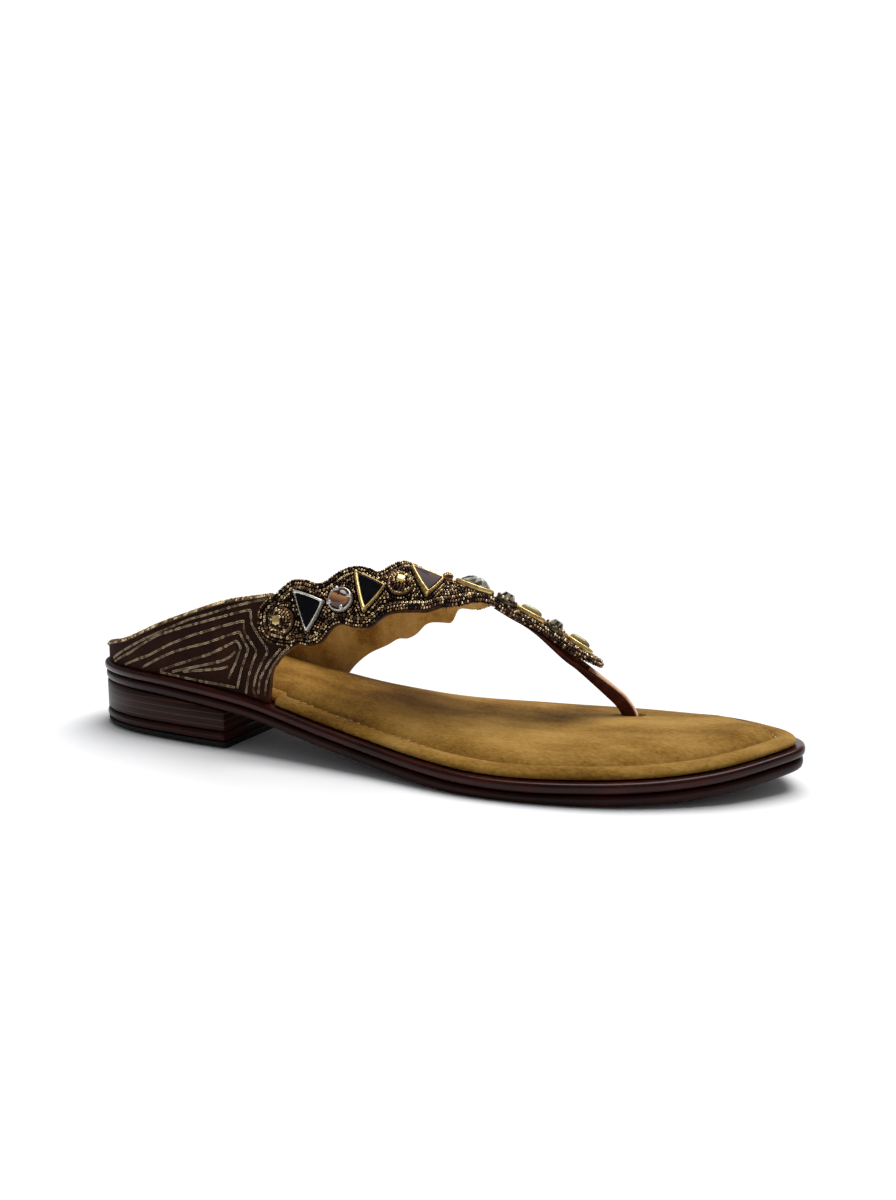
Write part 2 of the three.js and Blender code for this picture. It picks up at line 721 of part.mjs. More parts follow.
// Places a plan point on the upper: either on its curved face or at a height over the piece's middle
function ornamentSeat({ along, girth, spin }) {
  const angle = degrees(girth);
  const centre = lastPoint(along, angle);
  const normal = lastNormal(along, angle);
  const perAlong = slopeAlong(along, angle);
  const perGirth = slopeRound(along, angle);
  const towardsToe = perAlong.clone().addScaledVector(normal, -perAlong.dot(normal)).normalize();
  const mirror = girth > 0 ? -1 : 1;
  const towardsTop = new THREE.Vector3().crossVectors(normal, towardsToe).multiplyScalar(mirror);
  const u = towardsToe.clone().multiplyScalar(Math.cos(degrees(spin)));
  u.addScaledVector(towardsTop, Math.sin(degrees(spin)));
  const v = towardsTop.clone().multiplyScalar(Math.cos(degrees(spin)));
  v.addScaledVector(towardsToe, -Math.sin(degrees(spin)));
  const [a, b, c, d] = [perAlong.dot(u), perGirth.dot(u), perAlong.dot(v), perGirth.dot(v)];
  const area = a * d - b * c;
  return {
    over: (point, height) => centre.clone()
      .addScaledVector(u, point.x)
      .addScaledVector(v, point.y)
      .addScaledVector(normal, height),
    on: (point, height) => {
      let x = along;
      let g = angle;
      for (let pass = 0; pass < SEAT_PASSES; pass += 1) {
        const here = lastPoint(x, g).sub(centre);
        const missU = point.x - here.dot(u);
        const missV = point.y - here.dot(v);
        x += (d * missU - b * missV) / area;
        g += (a * missV - c * missU) / area;
      }
      return lastPoint(x, g).addScaledVector(lastNormal(x, g), height);
    },
  };
}

function bezelGeometry(piece) {
  const seat = ornamentSeat(piece);
  const outer = plans[piece.plan](piece.size);
  const shrink = 1 - BEZEL_WALL / inRadius[piece.plan](piece.size);
  const inner = outer.map((point) => point.clone().multiplyScalar(shrink));
  const height = bezelHeights[piece.plan];
  return ringSolid([
    outer.map((point) => seat.on(point, SEAT_LIFT)),
    outer.map((point) => seat.over(point, height)),
    inner.map((point) => seat.over(point, height)),
    inner.map((point) => seat.on(point, SEAT_LIFT)),
  ]);
}

function stoneGeometry(piece) {
  const seat = ornamentSeat(piece);
  const outline = plans[piece.plan](piece.size);
  const shrink = 1 - (BEZEL_WALL + STONE_GAP) / inRadius[piece.plan](piece.size);
  const girdle = bezelHeights[piece.plan];
  const dome = domeHeights[piece.plan];
  const ring = (scale) => outline.map((point) => point.clone().multiplyScalar(shrink * scale));
  const middle = new THREE.Vector2(0, 0);
  const loops = [
    ring(1).map((point) => seat.on(point, SEAT_LIFT)),
    ring(1).map((point) => seat.over(point, girdle)),
    ring(STONE_SHOULDER.scale).map((point) => seat.over(point, girdle + (dome - girdle) * STONE_SHOULDER.rise)),
  ];
  return fanSolid(loops, seat.on(middle, SEAT_LIFT), seat.over(middle, dome));
}

// Cuts one closed shape out of another
const solids = await Module();
solids.setup();

function solidOf(geometry) {
  const bare = geometry.clone();
  bare.deleteAttribute('normal');
  bare.deleteAttribute('uv');
  const merged = mergeVertices(bare);
  const vertProperties = new Float32Array(merged.attributes.position.array);
  const triVerts = new Uint32Array(merged.index.array);
  return new solids.Manifold(new solids.Mesh({ numProp: 3, vertProperties, triVerts }));
}

function cut(geometry, tool) {
  const result = solidOf(geometry).subtract(solidOf(tool)).getMesh();
  const remaining = new THREE.BufferGeometry();
  remaining.setAttribute('position', new THREE.BufferAttribute(result.vertProperties, 3));
  remaining.setIndex(new THREE.BufferAttribute(result.triVerts, 1));
  remaining.computeVertexNormals();
  return remaining;
}

function footbedWithSlit() {
  const slit = new THREE.BoxGeometry(POST_SLIT.length, POST_SLIT.width, ridge(POST_SLIT.along));
  slit.translate(POST_SLIT.along, POST_SLIT.across, ridge(POST_SLIT.along) / 2);
  return cut(footbedGeometry(), slit);
}

// The sandal
const sandal = new THREE.Group();

function addPiece(name, geometry, finish) {
  const mesh = new THREE.Mesh(geometry, new THREE.MeshStandardMaterial(finishes[finish]));
  mesh.name = name;
  sandal.add(mesh);
}

addPiece('welt', weltGeometry(), 'mahogany');
addPiece('outsole', outsoleGeometry(), 'mahogany');
addPiece('heel_stack', heelStackGeometry(), 'stacked');
addPiece('heel_lift', heelLiftGeometry(), 'mahogany');
addPiece('heel_tip', heelTipGeometry(), 'rubber');
addPiece('footbed', footbedWithSlit(), 'nubuck');
addPiece('upper', upperGeometry(), 'suede');
addPiece('toe_post', toePostGeometry(), 'strip');

const bezelFinish = { 1: 'silver', 2: 'gold', 3: 'copper' };
const stoneFinish = { round: 'amber', triangle: 'onyx', navette: 'crystal' };
ornaments.forEach((piece) => {
  addPiece(`${piece.name}_bezel`, bezelGeometry(piece), bezelFinish[piece.name.at(-1)]);
  addPiece(`${piece.name}_stone`, stoneGeometry(piece), stoneFinish[piece.plan]);
});

// Origin on the floor, under the middle of the sandal
const box = new THREE.Box3().setFromObject(sandal);
sandal.position.set(-(box.min.x + box.max.x) / 2, -(box.min.y + box.max.y) / 2, 0);
sandal.updateMatrixWorld(true);

export default sandal;
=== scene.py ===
import itertools
import math

import bmesh
import bpy
import mathutils
import numpy as np
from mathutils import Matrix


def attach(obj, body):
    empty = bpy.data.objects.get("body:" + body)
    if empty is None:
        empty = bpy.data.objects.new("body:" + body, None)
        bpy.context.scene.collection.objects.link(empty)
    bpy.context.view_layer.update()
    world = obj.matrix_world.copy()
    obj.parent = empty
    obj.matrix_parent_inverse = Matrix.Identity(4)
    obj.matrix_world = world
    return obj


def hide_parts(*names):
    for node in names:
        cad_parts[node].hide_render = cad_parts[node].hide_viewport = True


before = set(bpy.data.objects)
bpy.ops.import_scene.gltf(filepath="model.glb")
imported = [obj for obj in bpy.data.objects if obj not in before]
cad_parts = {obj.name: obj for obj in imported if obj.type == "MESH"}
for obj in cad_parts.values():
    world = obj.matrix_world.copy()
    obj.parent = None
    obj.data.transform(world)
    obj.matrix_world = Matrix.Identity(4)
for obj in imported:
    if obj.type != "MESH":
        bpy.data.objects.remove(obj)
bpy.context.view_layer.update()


# Welt
# The upper of the two leather layers under the footbed. It is cut to the sole's outline, its edge is
# rounded, stained mahogany and waxed, and its top shows round the footbed as a narrow ledge.
# Lengths are in millimetres, along from the back of the heel and across towards the medial side.
SOLE_LENGTH = 256
SOLE_MIDDLE = (128, 0.49)
SOLE_MEDIAL = (0, 15.2, 27.2, 28.6, 21.8, 29.4, 43.8, 44.0, 35.4, 15.6, 0)
SOLE_LATERAL = (0, 15.2, 25.1, 29.5, 32.2, 37.6, 44.3, 39.8, 26.9, 11.1, 0)
WELT_TOP = {0: 24.2, 45: 22.7, 80: 19.1, 115: 12.5, 145: 8.1, 170: 6.4, 200: 7.0, 228: 8.8, 256: 13.6}
WELT_THICKNESS = 3.1
LAYER_GAP = 0.3
SOLE_STATIONS = 150
WELT_EDGE = ((1.7, 0), (0.6, 0.05), (0.18, 0.2), (0, 0.45), (0.05, 0.7), (0.3, 0.9), (0.8, 0.98), (1.7, 1))


def curve_through(table):
    """Smooth curve through a table of places and values."""
    x = np.array(list(table), float)
    y = np.array([table[key] for key in table], float)
    step = np.diff(x)
    rise = np.diff(y) / step
    slope = np.empty_like(y)
    slope[0] = rise[0]
    slope[-1] = rise[-1]
    slope[1:-1] = (rise[:-1] * step[1:] + rise[1:] * step[:-1]) / (step[1:] + step[:-1])

    def value(at):
        at = np.clip(np.asarray(at, float), x[0], x[-1])
        i = np.clip(np.searchsorted(x, at, side="right") - 1, 0, len(x) - 2)
        t = (at - x[i]) / step[i]
        bend = t * t * (3 - 2 * t)
        start = t * (1 - t) ** 2 * step[i] * slope[i]
        end = t * t * (t - 1) * step[i] * slope[i + 1]
        return y[i] * (1 - bend) + y[i + 1] * bend + start + end

    return value


outline_turns = np.linspace(0, math.pi, len(SOLE_MEDIAL))
half_width = {
    "medial": curve_through(dict(zip(outline_turns, SOLE_MEDIAL))),
    "lateral": curve_through(dict(zip(outline_turns, SOLE_LATERAL))),
}
welt_top = curve_through(WELT_TOP)


def along_of(turn):
    return SOLE_LENGTH / 2 * (1 - np.cos(turn))


def turn_of(along):
    return np.arccos(1 - 2 * np.clip(along, 0, SOLE_LENGTH) / SOLE_LENGTH)


def outline_point(turn, side, inset):
    """Points of the sole's outline, moved in square to its edge."""
    before = np.maximum(turn - 0.02, 0)
    after = np.minimum(turn + 0.02, math.pi)
    dx = along_of(after) - along_of(before)
    dy = half_width[side](after) - half_width[side](before)
    length = np.hypot(dx, dy)
    at_end = (turn < 1e-9) | (turn > math.pi - 1e-9)
    normal_x = np.where(at_end, np.sign(turn - 1), -dy / length)
    normal_y = np.where(at_end, 0, dx / length)
    sign = 1 if side == "medial" else -1
    return along_of(turn) - inset * normal_x, sign * (half_width[side](turn) - inset * normal_y)


def sole_loop(inset, height, turns=np.linspace(0, math.pi, SOLE_STATIONS + 1)):
    """Closed loop round the sole: the medial side to the toe, then the lateral side back to the heel."""
    inset_of = inset if callable(inset) else lambda along, side: inset
    medial = outline_point(turns, "medial", inset_of(along_of(turns), "medial"))
    back = turns[1:-1][::-1]
    lateral = outline_point(back, "lateral", inset_of(along_of(back), "lateral"))
    along = np.concatenate([medial[0], lateral[0]])
    across = np.concatenate([medial[1], lateral[1]])
    return np.stack([along, across, height(along)], 1)


def full_turn(count):
    return np.linspace(0, 2 * math.pi, count, endpoint=False)


def signed_power(value, power):
    return np.sign(value) * np.abs(value) ** power


def running_length(points):
    """Length along a line up to each of its points."""
    return np.concatenate([[0], np.cumsum(np.linalg.norm(np.diff(points, axis=0), axis=1))])


def lay_skin(loops, caps="ladder"):
    """Points, faces and corner UVs of a skin through closed loops. UVs are in centimetres of leather."""
    count = len(loops[0])
    points = np.concatenate(loops)
    around = running_length(np.append(loops[0], loops[0][:1], axis=0)) / 10
    up = running_length(np.array([loop[count // 4] for loop in loops])) / 10
    faces, uvs = [], []
    for level in range(len(loops) - 1):
        low, high = level * count, (level + 1) * count
        for i in range(count):
            j = (i + 1) % count
            faces.append((low + i, high + i, high + j, low + j))
            uvs += [(around[i + a], up[level + b]) for a, b in ((0, 0), (0, 1), (1, 1), (1, 0))]
    if caps == "ladder":
        for base in (0, (len(loops) - 1) * count):
            for i in range(count // 2):
                corners = list(dict.fromkeys([i, i + 1, count - i - 1, (count - i) % count]))
                if len(corners) > 2:
                    faces.append(tuple(base + c for c in corners))
                    uvs += [tuple(points[base + c][:2] / 10) for c in corners]
    return points, faces, uvs


def show(name, data):
    """Object of the scene that shows a mesh, a light or a camera."""
    shown = bpy.data.objects.new(name, data)
    bpy.context.scene.collection.objects.link(shown)
    return shown


def mend(mesh, join=None, dissolve=None, turn=True):
    """Joins double points, removes edges of no length and turns the faces outwards. Distances in metres."""
    shell = bmesh.new()
    shell.from_mesh(mesh)
    if join:
        bmesh.ops.remove_doubles(shell, verts=shell.verts, dist=join)
    if dissolve:
        bmesh.ops.dissolve_degenerate(shell, edges=shell.edges, dist=dissolve)
    if turn:
        bmesh.ops.recalc_face_normals(shell, faces=shell.faces)
    shell.to_mesh(mesh)
    shell.free()


def make_piece(name, points, faces, materials, uvs=None, face_materials=None, closed=True):
    """Mesh object in the row frame from points in the sole's own millimetres."""
    placed = (points - np.array([*SOLE_MIDDLE, 0])) / 1000
    mesh = bpy.data.meshes.new(name)
    mesh.from_pydata([tuple(p) for p in placed], [], faces)
    for material in materials:
        mesh.materials.append(material)
    if uvs is not None:
        mesh.uv_layers.new(name="UVMap").data.foreach_set("uv", np.array(uvs, np.float32).ravel())
    if face_materials is not None:
        mesh.polygons.foreach_set("material_index", face_materials)
    if closed:
        mend(mesh, join=1e-7)
    mesh.polygons.foreach_set("use_smooth", [True] * len(mesh.polygons))
    return show(name, mesh)


def add(tree, kind, inputs=None, **settings):
    """One node of a tree. Inputs are constants or the sockets that feed them."""
    new = tree.nodes.new(kind)
    for key, value in settings.items():
        setattr(new, key, value)
    for key, value in (inputs or {}).items():
        if isinstance(value, bpy.types.NodeSocket):
            tree.links.new(value, new.inputs[key])
        else:
            new.inputs[key].default_value = value
    return new


def new_group(name, inputs, output, kind="ShaderNodeTree"):
    """Node group with its ends. Each input is given by its default or by its kind of socket."""
    group = bpy.data.node_groups.new(name, kind)
    for label, value in inputs.items():
        sort = value if isinstance(value, str) else "Int" if isinstance(value, int) else "Float"
        made = group.interface.new_socket(label, in_out="INPUT", socket_type="NodeSocket" + sort)
        if sort != value:
            made.default_value = value
    group.interface.new_socket(output, in_out="OUTPUT", socket_type="NodeSocket" + output.split()[-1])
    return group, group.nodes.new("NodeGroupInput").outputs, group.nodes.new("NodeGroupOutput").inputs


def use_group(tree, group, inputs):
    return add(tree, "ShaderNodeGroup", inputs, node_tree=group)


def new_material(name, **constants):
    """Material with its Principled BSDF. Values that are the same all over are set on the shader itself."""
    material = bpy.data.materials.new(name)
    material.use_nodes = True
    shader = material.node_tree.nodes["Principled BSDF"]
    for key, value in constants.items():
        shader.inputs[key.replace("_", " ")].default_value = value
    return material, material.node_tree, shader


def srgb(red, green, blue):
    """Linear colour from the screen values of a shade."""
    linear = [((c / 255 + 0.055) / 1.055) ** 2.4 if c > 10 else c / 255 / 12.92 for c in (red, green, blue)]
    return (*linear, 1)


def add_ramp(tree, fac, stops):
    """Colour ramp with its stops at the given places."""
    ramp = add(tree, "ShaderNodeValToRGB", {"Fac": fac})
    elements = ramp.color_ramp.elements
    while len(elements) < len(stops):
        elements.new(0.5)
    for element, (place, colour) in zip(elements, stops):
        element.position = place
        element.color = colour
    return ramp.outputs["Color"]


def mix_colours(tree, fac, first, second):
    """Colour that goes from the first to the second with the factor."""
    return add(tree, "ShaderNodeMix", {0: fac, 6: first, 7: second}, data_type="RGBA").outputs[2]


# Cloudy tone: soft clouds with a finer break-up, for dye that has taken unevenly.
cloudy_tone, given, made = new_group(
    "cloudy_tone",
    {"Vector": "Vector", "Cloud Scale": 60.0, "Speck Scale": 900.0, "Speck Amount": 0.25},
    "Tone Float",
)
clouds = add(
    cloudy_tone, "ShaderNodeTexNoise",
    {"Vector": given["Vector"], "Scale": given["Cloud Scale"], "Detail": 4, "Roughness": 0.55},
)
specks = add(
    cloudy_tone, "ShaderNodeTexNoise",
    {"Vector": given["Vector"], "Scale": given["Speck Scale"], "Detail": 3, "Roughness": 0.7},
)
mixed_tone = add(
    cloudy_tone, "ShaderNodeMix",
    {0: given["Speck Amount"], 2: clouds.outputs["Fac"], 3: specks.outputs["Fac"]},
)
cloudy_tone.links.new(mixed_tone.outputs[0], made["Tone Float"])

# Fine relief: grain or nap, as a bumped normal.
fine_relief, given, made = new_group(
    "fine_relief",
    {"Vector": "Vector", "Grain Scale": 1200.0, "Depth": 0.0001, "Strength": 0.5},
    "Normal Vector",
)
grain = add(
    fine_relief, "ShaderNodeTexNoise",
    {"Vector": given["Vector"], "Scale": given["Grain Scale"], "Detail": 5, "Roughness": 0.6},
)
bumps = add(
    fine_relief, "ShaderNodeBump",
    {"Height": grain.outputs["Fac"], "Distance": given["Depth"], "Strength": given["Strength"]},
)
fine_relief.links.new(bumps.outputs["Normal"], made["Normal Vector"])


def clouded(tree, *scales, over=None):
    """Cloudy tone over the object or other places. Scales: of clouds, of specks, and the specks' share."""
    over = over or add(tree, "ShaderNodeTexCoord").outputs["Object"]
    labels = ("Cloud Scale", "Speck Scale", "Speck Amount")
    return use_group(tree, cloudy_tone, {"Vector": over, **dict(zip(labels, scales))}).outputs["Tone Float"]


def stretched(tree, places, scale):
    return add(tree, "ShaderNodeMapping", {"Vector": places, "Scale": scale}).outputs["Vector"]


def dye(tree, shader, tone, *stops):
    """Gives a material its base colour from a tone."""
    tree.links.new(add_ramp(tree, tone, stops), shader.inputs["Base Color"])


def press_grain(tree, shader, scale, depth, strength):
    """Bumps a material with fine relief over the object."""
    place = add(tree, "ShaderNodeTexCoord").outputs["Object"]
    relief = {"Vector": place, "Grain Scale": scale, "Depth": depth, "Strength": strength}
    tree.links.new(use_group(tree, fine_relief, relief).outputs["Normal Vector"], shader.inputs["Normal"])


def waxed_edge(name, dark, red, bright, stretch, roughness, gloss):
    """Stained and waxed leather edge: long reddish bands along the edge under a thin gloss."""
    material, tree, shader = new_material(
        name, Coat_Weight=gloss, Coat_Roughness=0.16, Specular_IOR_Level=0.08
    )
    along_edge = stretched(tree, add(tree, "ShaderNodeUVMap").outputs["UV"], stretch)
    bands = clouded(tree, 1.0, 9.0, 0.3, over=along_edge)
    dye(tree, shader, bands, (0.3, dark), (0.52, red), (0.74, bright))
    least, most = roughness
    wear = add(
        tree, "ShaderNodeMapRange",
        {"Value": bands, "From Min": 0.3, "From Max": 0.7, "To Min": least, "To Max": most},
    )
    tree.links.new(wear.outputs["Result"], shader.inputs["Roughness"])
    press_grain(tree, shader, 350.0, 0.0003, 0.35)
    return material


welt_leather = waxed_edge(
    "welt_leather", srgb(12, 3, 2), srgb(46, 12, 7), srgb(84, 27, 15), (0.5, 5.5, 1), (0.2, 0.42), 0.24
)


def layer_piece(name, profile, height_at, material):
    loops = [sole_loop(inset, lambda along, rise=rise: height_at(along, rise)) for inset, rise in profile]
    points, faces, uvs = lay_skin(loops)
    return make_piece(name, points, faces, [material], uvs)


welt = layer_piece(
    "welt_layer", WELT_EDGE, lambda along, rise: welt_top(along) + (rise - 1) * WELT_THICKNESS, welt_leather
)
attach(welt, "root")
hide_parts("welt")


# Outsole
# The lower leather layer, cut a little inside the welt, which it is glued and pressed to. It bends up under
# the arch and the toe, and its edge is the same mahogany, made darker in colour than the welt's as painted
# shade, because it faces the ground.
OUTSOLE_THICKNESS = 3.5
OUTSOLE_EDGE = (
    (2.4, 0), (1.2, 0.05), (0.75, 0.16), (0.5, 0.4), (0.45, 0.6), (0.55, 0.82), (0.9, 0.95), (1.8, 1),
)


def outsole_top(along):
    return welt_top(along) - WELT_THICKNESS - LAYER_GAP


def outsole_height(along, rise):
    bottom = np.maximum(0, outsole_top(along) - OUTSOLE_THICKNESS)
    return bottom + rise * (outsole_top(along) - bottom)


# Its colours are the welt's mahogany made darker: painted shade for the layer that faces the ground.
outsole_leather = waxed_edge(
    "outsole_leather", srgb(8, 2, 2), srgb(36, 9, 6), srgb(66, 21, 13), (0.5, 5, 1), (0.24, 0.48), 0.1
)
outsole = layer_piece("outsole_layer", OUTSOLE_EDGE, outsole_height, outsole_leather)
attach(outsole, "root")
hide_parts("outsole")


# Heel
# Stacked leather lifts, pressed, turned to one outline and stained, with one rounded lift and a tip of
# black rubber nailed under them. The stack's own layers show as faint reddish lines.
HEEL_BREAST = 72
HEEL_INSET = 0.7
HEEL_ROUNDING = 0.3
HEEL_STATIONS = 70
TIP_TOP = 2.3
LIFT_TOP = 5.8


def heel_loop(inset, height):
    turns = np.linspace(0, turn_of(HEEL_BREAST), HEEL_STATIONS + 1)
    medial = outline_point(turns, "medial", inset)
    lateral = outline_point(turns[1:][::-1], "lateral", inset)
    along = np.minimum(np.concatenate([medial[0], lateral[0]]), HEEL_BREAST)
    across = np.concatenate([medial[1], lateral[1]])
    along[[HEEL_STATIONS, HEEL_STATIONS + 1]] = HEEL_BREAST
    return np.stack([along, across, height(along)], 1)


def soften(piece, width, angle=30):
    """Eases the edges of a piece that are sharper than an angle."""
    softened = piece.modifiers.new("softened_edges", "BEVEL")
    softened.width = width / 1000
    softened.segments = 2
    softened.limit_method = "ANGLE"
    softened.angle_limit = math.radians(angle)


def heel_piece(name, node, profile, material):
    loops = [heel_loop(HEEL_INSET + inset, height) for inset, height in profile]
    points, faces, uvs = lay_skin(loops)
    piece = make_piece(name, points, faces, [material], uvs)
    soften(piece, HEEL_ROUNDING, 50)
    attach(piece, "root")
    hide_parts(node)
    return piece


def level(height):
    return lambda along: np.full_like(along, height)


stack_leather, stack_tree, stack_shader = new_material(
    "stacked_leather", Coat_Weight=0.03, Coat_Roughness=0.25, Specular_IOR_Level=0.1, Roughness=0.38
)
stack_place = add(stack_tree, "ShaderNodeTexCoord").outputs["Object"]
stack_tone = clouded(stack_tree, 1.0, 7.0, 0.3, over=stretched(stack_tree, stack_place, (18, 18, 420)))
stack_base = add_ramp(
    stack_tree, stack_tone, [(0.32, srgb(13, 6, 5)), (0.5, srgb(30, 14, 10)), (0.72, srgb(54, 25, 17))]
)
stack_wave = add(
    stack_tree, "ShaderNodeTexWave",
    {"Vector": stack_place, "Scale": 142, "Distortion": 0.25, "Detail": 1, "Detail Scale": 0.6},
    wave_type="BANDS", bands_direction="Z",
)
stack_line = add_ramp(stack_tree, stack_wave.outputs["Fac"], [(0.9, (0, 0, 0, 1)), (0.985, (1, 1, 1, 1))])
stack_colour = mix_colours(stack_tree, stack_line, stack_base, srgb(84, 42, 33))
stack_tree.links.new(stack_colour, stack_shader.inputs["Base Color"])

stack_profile = (
    (0.5, level(LIFT_TOP + LAYER_GAP)),
    (0, level(LIFT_TOP + 0.8)),
    (0, lambda along: outsole_height(along, 0) - 0.9),
    (0.4, lambda along: outsole_height(along, 0) - LAYER_GAP),
)
heel_stack = heel_piece("heel_stack_layers", "heel_stack", stack_profile, stack_leather)

lift_leather = waxed_edge(
    "heel_lift_leather", srgb(14, 4, 3), srgb(46, 13, 8), srgb(72, 25, 16), (0.4, 4, 1), (0.3, 0.5), 0.08
)
lift_heights = ((0.5, TIP_TOP + LAYER_GAP), (-0.1, 3.1), (-0.35, 4.2), (-0.1, 5.3), (0.4, LIFT_TOP))
lift_profile = [(inset, level(height)) for inset, height in lift_heights]
heel_lift = heel_piece("heel_lift_layer", "heel_lift", lift_profile, lift_leather)

tip_rubber, tip_tree, tip_shader = new_material("tip_rubber", Specular_IOR_Level=0.3, Roughness=0.75)
dye(tip_tree, tip_shader, clouded(tip_tree, 90.0), (0.3, srgb(5, 5, 6)), (0.75, srgb(20, 19, 20)))
tip_profile = [(inset, level(height)) for inset, height in ((1.3, 0), (0.5, 0.5), (0, 1.2), (0, TIP_TOP))]
heel_tip = heel_piece("heel_tip_rubber", "heel_tip", tip_profile, tip_rubber)


# Footbed
# A cushion of foam on a board, covered with tan nubuck. A seam sewn round it near the edge draws the cover
# down into a groove, outside which it rolls over the rim. The toe post goes down through a small slit.
LEDGE = 2.6
WALL = 2.4
WALL_CLEARANCE = 0.5
PANEL_FRONT = {"lateral": 90, "medial": 92.6}
HEEL_CENTRE = 25
TOE_CENTRE = 229
FOOTBED_ROLL = (
    (0.5, 0.3), (0.12, 0.65), (0, 1.1), (0.1, 1.6), (0.5, 2.1), (1.2, 2.6), (2.2, 3.0), (3.4, 3.15),
    (4.6, 3.0), (5.35, 2.6), (5.7, 2.15), (5.85, 1.95), (6.05, 2.2),
)
FOOTBED_CROWN = {0: 2.2, 0.03: 3.1, 0.1: 4.25, 0.28: 5.9, 0.55: 6.8, 0.85: 7.0, 1: 7.0}
CROWN_RINGS = 26
SEAM_INSET = 5.8
PUCKER_PITCH = 3.1
PUCKER_DEPTH = 0.22
SLIT = {"along": 203.1, "across": 13.7, "length": 8.2, "width": 4.4}
SLIT_HEIGHTS = (5.0, 30.0)
SLIT_STATIONS = 32

footbed_crown = curve_through(FOOTBED_CROWN)


def smooth_step(low, high, value):
    t = np.clip((value - low) / (high - low), 0, 1)
    return t * t * (3 - 2 * t)


def footbed_inset(along, side):
    """The border steps in behind the wall of the side panels, which goes down into the sole."""
    front = PANEL_FRONT[side] + 0.9
    return LEDGE + (WALL + WALL_CLEARANCE) * (1 - smooth_step(front, front + 1.6, along))


def puckers(along):
    """Small gathers of the cover along the seam, strongest at the arch."""
    strength = smooth_step(88, 100, along) * (1 - 0.8 * smooth_step(128, 160, along))
    return strength * PUCKER_DEPTH * np.sin(2 * math.pi * along / PUCKER_PITCH)


def footbed_border(inset, rise):
    near_seam = smooth_step(2.2, 5.2, inset)

    def inset_at(along, side):
        return footbed_inset(along, side) + inset + near_seam * 2.2 * puckers(along)

    def height(along):
        return welt_top(along) + rise - near_seam * puckers(along)

    return sole_loop(inset_at, height, np.linspace(0, math.pi, 2 * SOLE_STATIONS + 1))


footbed_loops = [footbed_border(inset, rise) for inset, rise in FOOTBED_ROLL]
groove_loop = footbed_loops[-1]
spine_along = np.clip(groove_loop[:, 0], HEEL_CENTRE, TOE_CENTRE)
spine_turn = turn_of(spine_along)
spine_across = (half_width["medial"](spine_turn) - half_width["lateral"](spine_turn)) / 2
for share in np.linspace(0, 1, CROWN_RINGS + 1)[1:-1] ** 1.25:
    ring_along = groove_loop[:, 0] * (1 - share) + spine_along * share
    ring_across = groove_loop[:, 1] * (1 - share) + spine_across * share
    settle = (groove_loop[:, 2] - welt_top(groove_loop[:, 0]) - FOOTBED_CROWN[0]) * (1 - share) ** 6
    ring_height = welt_top(ring_along) + footbed_crown(share) + settle
    footbed_loops.append(np.stack([ring_along, ring_across, ring_height], 1))


def nubuck(name, dark, middle, light, clouds, stretch):
    """Nubuck: brushed leather with cloudy dye, a fine nap and a soft sheen."""
    material, tree, shader = new_material(
        name, Sheen_Weight=0.03, Sheen_Roughness=0.5, Specular_IOR_Level=0.08, Roughness=0.82
    )
    place = add(tree, "ShaderNodeTexCoord").outputs["Object"]
    tone = clouded(tree, clouds, 1100.0, 0.3, over=stretched(tree, place, stretch))
    dye(tree, shader, tone, (0.36, dark), (0.5, middle), (0.64, light))
    press_grain(tree, shader, 1500.0, 0.00022, 0.5)
    return material


footbed_nubuck = nubuck(
    "footbed_nubuck", srgb(80, 50, 10), srgb(139, 101, 38), srgb(175, 136, 70), 42.0, (0.6, 1.2, 1)
)
footbed_points, footbed_faces, footbed_uvs = lay_skin(footbed_loops)
footbed = make_piece("footbed_cushion", footbed_points, footbed_faces, [footbed_nubuck], footbed_uvs)

# The slit is cut with a slot shape that has round ends.
slot_half = (SLIT["length"] - SLIT["width"]) / 2
slot_turns = full_turn(SLIT_STATIONS)
slot_ends = np.sign(np.cos(slot_turns)) * (np.abs(np.cos(slot_turns)) > 1e-6)
slot_along = SLIT["along"] + slot_half * slot_ends + SLIT["width"] / 2 * np.cos(slot_turns)
slot_across = SLIT["across"] + SLIT["width"] / 2 * np.sin(slot_turns)
slot_loops = [np.stack([slot_along, slot_across, np.full(SLIT_STATIONS, z)], 1) for z in SLIT_HEIGHTS]
slot_points, slot_faces, _ = lay_skin(slot_loops, caps=None)
slot_faces += [tuple(range(SLIT_STATIONS)), tuple(range(SLIT_STATIONS, 2 * SLIT_STATIONS))]
cutter = make_piece("slit_cutter", slot_points, slot_faces, [])
cut = footbed.modifiers.new("slit", "BOOLEAN")
cut.operation = "DIFFERENCE"
cut.solver = "EXACT"
cut.object = cutter


def evaluated_mesh(piece):
    view = bpy.context.evaluated_depsgraph_get()
    return bpy.data.meshes.new_from_object(piece.evaluated_get(view), depsgraph=view)


def settle_modifiers(piece):
    """Turns a piece with modifiers into a plain mesh."""
    mesh = evaluated_mesh(piece)
    piece.modifiers.clear()
    piece.data = mesh


settle_modifiers(footbed)
bpy.data.objects.remove(cutter)
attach(footbed, "root")
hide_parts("footbed")


def random_vector(tree, least, most, seed):
    return add(
        tree, "FunctionNodeRandomValue", {"Min": least, "Max": most, "Seed": seed}, data_type="FLOAT_VECTOR"
    ).outputs["Value"]


def vector_at_points(tree, name):
    stored = add(tree, "GeometryNodeInputNamedAttribute", {"Name": name}, data_type="FLOAT_VECTOR")
    return stored.outputs["Attribute"]


def facing_out(tree):
    normal = vector_at_points(tree, "normal")
    return add(tree, "FunctionNodeAlignRotationToVector", {"Vector": normal}, axis="Z").outputs["Rotation"]


def swept_ring(tree, ring, resolution, radius):
    """A ring of thread or glass swept along a closed curve."""
    profile = add(tree, "GeometryNodeCurvePrimitiveCircle", {"Resolution": resolution, "Radius": radius})
    swept = {"Curve": ring, "Profile Curve": profile.outputs["Curve"]}
    return add(tree, "GeometryNodeCurveToMesh", swept).outputs["Mesh"]


